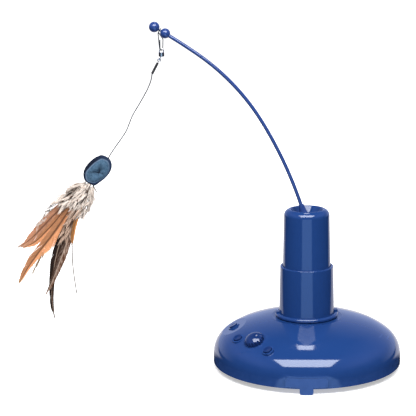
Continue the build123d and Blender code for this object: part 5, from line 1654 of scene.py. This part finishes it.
@dataclass
class Plume:
    """All the feathers and the down that hide their roots."""

    feathers: list[Feather] = field(default_factory=lambda: [
        Feather(
            "tan_upper", node="feather_tan_upper", slot="feather_tan", layer=0, finish=TAN_BACK,
            line=(
                (-218.8, 190.3), (-237.1, 174.8), (-254.4, 158.3), (-270.6, 141.5), (-283.2, 129.5),
                (-295.0, 121.9),
            ),
            widths=(
                (0.0, 1.0, 1.0), (0.3, 6.0, 4.5), (0.5, 8.0, 6.4), (0.7, 6.6, 6.8), (0.86, 3.6, 4.4),
                (1.0, 1.2, 0.7),
            ),
            curl=6.0, seed=11,
        ),
        Feather(
            "pale", node="feather_pale", slot="feather_pale", layer=1, finish=PALE,
            line=(
                (-218.4, 190.2), (-237.3, 167.0), (-255.0, 140.2), (-266.6, 120.5), (-274.3, 106.9),
                (-280.6, 95.1),
            ),
            widths=((0.0, 0.5, 0.5), (0.4, 2.0, 2.6), (0.7, 1.8, 2.4), (1.0, 0.8, 1.2)),
            vane=Vane.LOOSE, quill=QUILL, curl=4.0, seed=12, spacing=0.42,
        ),
        Feather(
            "tan_lower", node="feather_tan_lower", slot="feather_tan", layer=2, finish=TAN,
            line=(
                (-217.9, 190.4), (-234.7, 174.3), (-249.7, 156.1), (-265.9, 138.6), (-277.2, 128.6),
                (-288.0, 123.4),
            ),
            widths=(
                (0.0, 1.0, 1.0), (0.4, 4.2, 5.6), (0.6, 4.0, 6.0), (0.78, 3.0, 4.2), (0.9, 1.8, 2.4),
                (1.0, 0.7, 0.5),
            ),
            curl=2.0, seed=13,
        ),
        Feather(
            "tan_large", node="feather_tan_large", slot="feather_tan", layer=3, finish=TAN,
            line=(
                (-217.3, 190.0), (-230.5, 174.3), (-243.6, 157.0), (-256.6, 138.5), (-271.2, 119.9),
                (-282.4, 104.7), (-292.6, 87.7),
            ),
            widths=(
                (0.0, 1.0, 1.5), (0.22, 4.6, 8.0), (0.4, 6.4, 11.0), (0.55, 7.4, 8.4), (0.7, 7.0, 5.0),
                (0.84, 4.4, 3.4), (0.95, 2.8, 2.2), (1.0, 1.6, 1.2),
            ),
            curl=-2.5, seed=14, splits=(0.6,),
        ),
        Feather(
            "streaked", node="feather_streaked", slot="feather_brown", layer=4, finish=STREAKED,
            line=(
                (-217.0, 189.6), (-228.5, 167.0), (-237.2, 145.1), (-244.3, 125.4), (-252.0, 105.6),
                (-258.6, 89.5), (-265.1, 76.4),
            ),
            widths=(
                (0.0, 0.8, 0.8), (0.3, 4.2, 4.6), (0.5, 5.4, 6.0), (0.66, 5.2, 5.6), (0.8, 3.6, 3.8),
                (0.92, 2.2, 2.2), (1.0, 1.0, 0.8),
            ),
            quill=QUILL, curl=-5.0, seed=15, camber=0.1,
        ),
        Feather(
            "dark", node="feather_dark", slot="feather_brown", layer=5, finish=BROWN,
            line=(
                (-217.3, 189.3), (-231.3, 167.0), (-243.6, 143.6), (-251.6, 123.7), (-256.6, 104.2),
                (-259.4, 85.5), (-260.0, 67.2), (-258.0, 49.6),
            ),
            widths=(
                (0.0, 0.8, 0.8), (0.25, 3.2, 3.6), (0.42, 5.2, 5.6), (0.55, 5.4, 6.0), (0.7, 4.0, 4.2),
                (0.82, 3.2, 3.2), (0.92, 2.4, 2.2), (1.0, 0.9, 0.7),
            ),
            quill=QUILL, curl=2.5, seed=16, camber=0.12,
        ),
        Feather(
            "orange", node="feather_orange", slot="feather_orange", layer=6, finish=AMBER,
            line=((-217.6, 188.8), (-223.9, 174.3), (-231.3, 156.8), (-235.2, 142.6), (-237.2, 127.8)),
            widths=((0.0, 0.6, 0.6), (0.35, 2.2, 2.6), (0.62, 2.4, 3.4), (0.84, 2.0, 2.4), (1.0, 1.0, 0.8)),
            seed=17, bare=0.3,
        ),
    ])
    stalk_line: tuple[Pair, ...] = ((-237.1, 129.0), (-237.3, 113.0), (-236.3, 96.9), (-234.0, 77.2))
    stalk_radii: Pair = (0.6, 0.5)
    stalk_steps: int = 24
    down: list[Stream] = field(default_factory=lambda: [
        Stream(
            "down_left", line=((-219.0, 191.0), (-230.0, 182.5), (-240.0, 174.5), (-249.5, 167.5)),
            widths=(1.6, 5.4, 6.4, 2.4), locks=110, length=(8.0, 16.0), seed=21,
            depth=1.0, forward=1.0, dark_share=0.15, flare=24.0, tone=0.1,
        ),
        Stream(
            "down_middle", line=((-217.5, 190.5), (-225.0, 180.0), (-231.0, 172.0), (-236.0, 167.5)),
            widths=(2.0, 6.2, 6.0, 3.4), locks=110, length=(8.0, 13.0), seed=22,
            depth=1.15, forward=-0.5, tone=0.08,
        ),
        Stream(
            "down_right", line=((-215.5, 189.5), (-218.5, 178.0), (-223.5, 166.0), (-230.0, 157.5)),
            widths=(2.2, 4.4, 5.0, 3.4), locks=100, length=(7.0, 12.0), seed=23,
            depth=1.25, forward=-0.5, dark_share=0.28, flare=14.0,
        ),
        Stream(
            "down_low", line=((-227.0, 168.0), (-236.0, 156.0), (-241.5, 144.0), (-245.5, 133.0)),
            widths=(3.4, 4.6, 4.0, 2.0), locks=52, length=(10.0, 15.0), seed=24,
            depth=0.7, forward=-3.0, dark_share=0.3, flare=6.0, tone=-0.08, finish=BUFF_DOWN,
        ),
        Stream(
            "down_wisps", line=((-246.0, 176.0), (-257.0, 167.0), (-266.0, 156.0), (-274.0, 146.0)),
            widths=(1.5, 3.0, 3.0, 2.0), locks=24, length=(9.0, 14.0), seed=25,
            forward=2.0, dark_share=0.25, flare=-30.0, tone=0.1, strands=5, lock_width=2.0,
        ),
        Stream(
            "down_neck", line=((-216.6, 191.6), (-219.0, 188.0), (-222.0, 184.0)),
            widths=(1.2, 2.4, 3.0), locks=22, length=(6.0, 9.0), seed=27,
            forward=-3.0, dark_share=0.12, flare=6.0, tone=0.15,
        ),
        Stream(
            "down_spike", line=((-226.0, 189.5), (-231.0, 186.5), (-236.0, 184.0)),
            widths=(0.6, 1.2, 0.6), locks=8, length=(8.0, 12.0), seed=26,
            forward=-5.0, dark_share=0.8, flare=2.0, lock_width=0.7,
        ),
    ])

    def stalk(self) -> None:
        """Bare end of the small feather's quill."""
        depth = (MIDDLE_LAYER - self.feathers[-1].layer) * LAYER_STEP
        flat = smooth_path(list(self.stalk_line), self.stalk_steps)
        path = np.stack([flat[:, 0], np.full(len(flat), depth), flat[:, 1]], axis=1)
        radii = np.linspace(*self.stalk_radii, len(flat))
        points, faces = tube_mesh(path * MM, radii * MM, QUILL_SIDES)
        hang(new_piece("orange_stalk", points, faces, STALK), "feather_orange")
        LOG.info("orange_stalk: %d faces", len(faces))

    def build(self) -> None:
        """Makes every feather and stream of down."""
        for feather in self.feathers:
            feather.build()
        self.stalk()
        for stream in self.down:
            stream.build()


@dataclass(frozen=True)
class Softbox:
    """One soft rectangular lamp, which hangs at a place and points at a target."""

    name: str
    place: Row
    target: Row
    size: Pair
    watts: float
    mirrored: bool = True

    def hang(self) -> None:
        """Adds the lamp to the studio; an unmirrored one doesn't show in glossy surfaces."""
        data = bpy.data.lights.new(self.name, "AREA")
        data.shape = "RECTANGLE"
        data.size, data.size_y = self.size
        data.energy = self.watts
        lamp = placed(self.name, data)
        lamp.visible_glossy = self.mirrored
        lamp.location = self.place
        lamp.rotation_mode = "QUATERNION"
        lamp.rotation_quaternion = (Vector(self.target) - Vector(self.place)).to_track_quat("-Z", "Y")


@dataclass
class Studio:
    """Pale floor, soft lamps, plain surroundings and the camera."""

    camera_place: Row = (-0.03198, -1.4754, 0.48051)
    yaw: float = -2.60417
    pitch: float = 12.07289
    roll: float = -0.738
    lens: float = 129.993
    floor_reach: float = 6.0
    paper: tuple[Colour, Colour] = ((0.8, 0.8, 0.805), (0.83, 0.83, 0.83))
    wedge: float = 0.43
    wedge_blur: float = 0.03
    wedge_gloss: Colour = (0.6, 0.93, 1.4)
    side_gloss: Colour = (0.02, 0.025, 0.04)
    rear_gloss: Colour = (1.0, 0.98, 1.05)
    rear_slope: float = 1.45
    front_starts: float = -0.03
    least_depth: float = 0.02
    wing_edge: Pair = (-0.27, -0.21)
    past_tower: Pair = (0.02, 0.06)
    fade_start: Pair = (0.12, 0.45)
    fade_end: Pair = (0.55, 1.0)
    rear_side: Pair = (0.15, 0.75)
    rear_height: Pair = (0.12, 0.75)
    sides_reach: Pair = (0.35, 0.8)
    sides_height: Pair = (0.2, 0.5)
    fibre_scale: float = 220.0
    diffuse_cut: float = 0.6
    room_light: Colour = (0.27, 0.28, 0.3)
    room_dark: Colour = (0.03, 0.035, 0.06)
    room_rear: Colour = (0.62, 0.7, 1.0)
    room_sides: Colour = (0.28, 0.33, 0.66)
    lamps: tuple[Softbox, ...] = (
        Softbox(
            "front_softbox", place=(-0.03, -0.95, 1.32), target=(-0.03, -0.55, 0.0), size=(1.7, 0.95),
            watts=46.0,
        ),
        Softbox(
            "top_softbox", place=(-0.005, 0.6, 1.9), target=(-0.02, 0.0, 0.1), size=(0.3, 0.45), watts=3.2
        ),
        Softbox(
            "rear_fill", place=(0.4, 1.6, 1.1), target=(-0.05, 0.0, 0.15), size=(1.2, 0.9), watts=11.0,
            mirrored=False,
        ),
    )

    def camera(self) -> None:
        """Camera at the photograph's angle."""
        data = bpy.data.cameras.new("camera")
        data.lens = self.lens
        data.sensor_width = 36.0
        data.clip_end = 20.0
        camera = placed("camera", data)
        yaw, pitch, roll = (math.radians(value) for value in (self.yaw, self.pitch, self.roll))
        ahead = Vector((math.sin(yaw) * math.cos(pitch), math.cos(yaw) * math.cos(pitch), -math.sin(pitch)))
        level = Vector((math.cos(yaw), -math.sin(yaw), 0.0))
        upright = level.cross(ahead)
        right = level * math.cos(roll) + upright * math.sin(roll)
        up = upright * math.cos(roll) - level * math.sin(roll)
        camera.matrix_world = Matrix((right, up, -ahead)).transposed().to_4x4()
        camera.location = self.camera_place
        bpy.context.scene.camera = camera

    def floor_gloss(self, graph: Graph, own: Socket) -> Socket:
        """What glossy surfaces see of the floor: a bright wedge in front, white behind and dark beside.

        Args:
            graph: The floor material's graph.
            own: The floor's own coordinates.

        Returns:
            The colour.
        """
        x, y, _ = graph.add("ShaderNodeSeparateXYZ", {0: own}).outputs
        slope = graph.math("DIVIDE", graph.size(x), graph.math("MAXIMUM", graph.size(y), self.least_depth))
        wedge = graph.fall(slope, (self.wedge - self.wedge_blur, self.wedge + self.wedge_blur))
        front = graph.times(wedge, graph.math("LESS_THAN", y, self.front_starts))
        wing = graph.minus(y, graph.times(graph.size(x), self.rear_slope))
        behind = graph.times(graph.rise(wing, self.wing_edge), graph.rise(y, self.past_tower))
        return graph.mix(behind, graph.mix(front, self.side_gloss, self.wedge_gloss), self.rear_gloss)

    def floor(self) -> None:
        """Pale floor, which is white to the camera away from the object and keeps its shadow."""
        mesh = bpy.data.meshes.new("floor")
        size = self.floor_reach
        corners = [(-size, -size, 0), (size, -size, 0), (size, size, 0), (-size, size, 0)]
        mesh.from_pydata(corners, [], [(0, 1, 2, 3)])
        floor = placed("floor", mesh)
        material, graph, shader = new_material("floor_paper")
        own = graph.place()
        path = graph.add("ShaderNodeLightPath").outputs
        mirrored = path["Is Glossy Ray"]
        distance = graph.add("ShaderNodeVectorMath", {0: own}, operation="LENGTH").outputs["Value"]
        far = graph.spread(distance, self.fade_start, self.fade_end)
        fibres = graph.noise(own, scale=self.fibre_scale, detail=5.0, rough=0.6)
        fibres = graph.rise(fibres, (0.3, 0.7))
        diffuse = graph.times(path["Is Diffuse Ray"], self.diffuse_cut)
        unlit = graph.math("ADD", mirrored, diffuse, clamp=True)
        graph.put(shader.inputs["Base Color"], graph.mix(unlit, graph.mix(fibres, *self.paper), BLACK))
        glow = graph.mix(graph.times(path["Is Camera Ray"], far), BLACK, WHITE)
        mirror = self.floor_gloss(graph, own)
        graph.put(shader.inputs["Emission Color"], graph.mix(mirrored, glow, mirror))
        settle(shader, {"Emission Strength": 1.0, "Roughness": 0.9, "Specular IOR Level": 0.0})
        mesh.materials.append(material)

    def world(self) -> None:
        """White behind the object for the camera, and a soft room for light and gloss."""
        world = bpy.data.worlds.new("studio")
        bpy.context.scene.world = world
        world.use_nodes = True
        world.node_tree.nodes.clear()
        graph = Graph(world.node_tree)
        way = graph.add("ShaderNodeTexCoord").outputs["Generated"]
        x, y, z = graph.add("ShaderNodeSeparateXYZ", {0: way}).outputs
        path = graph.add("ShaderNodeLightPath").outputs
        rear = graph.times(graph.rise(y, self.rear_side), graph.fall(z, self.rear_height))
        room = graph.mix(rear, self.room_dark, self.room_rear)
        aside = graph.rise(graph.size(x), self.sides_reach)
        sides = graph.times(aside, graph.rise(z, self.sides_height))
        room = graph.mix(sides, room, self.room_sides)
        soft = graph.mix(path["Is Glossy Ray"], self.room_light, room)
        seen = graph.math("MAXIMUM", path["Is Camera Ray"], path["Is Transmission Ray"])
        inputs = {"Color": graph.mix(seen, soft, WHITE), "Strength": 1.0}
        shader = graph.add("ShaderNodeBackground", inputs)
        output = graph.add("ShaderNodeOutputWorld")
        graph.put(output.inputs["Surface"], shader.outputs[0])

    def build(self) -> None:
        """Makes the camera, the floor, the lamps and the surroundings."""
        self.camera()
        self.floor()
        for lamp in self.lamps:
            lamp.hang()
        self.world()
        bpy.context.scene.view_settings.view_transform = "Standard"
        LOG.info("studio: camera, floor and %d lamps", len(self.lamps))


def main() -> None:
    """Builds the camera and the cord first, then every other piece, then dresses the solids."""
    logging.basicConfig(level=logging.INFO, format="%(name)s %(message)s")
    EFFECTS.update(
        moulding=moulding_effect(),
        brushing=brushing_effect(),
        edges=edge_effect(),
        weave=weave_effect(),
        barbs=barb_effect(),
    )
    Studio().build()
    LureLine().build()
    Crimp().build()
    StuffedLure().build()
    Plume().build()
    HardParts().dress()


if __name__ == "__main__":
    main()
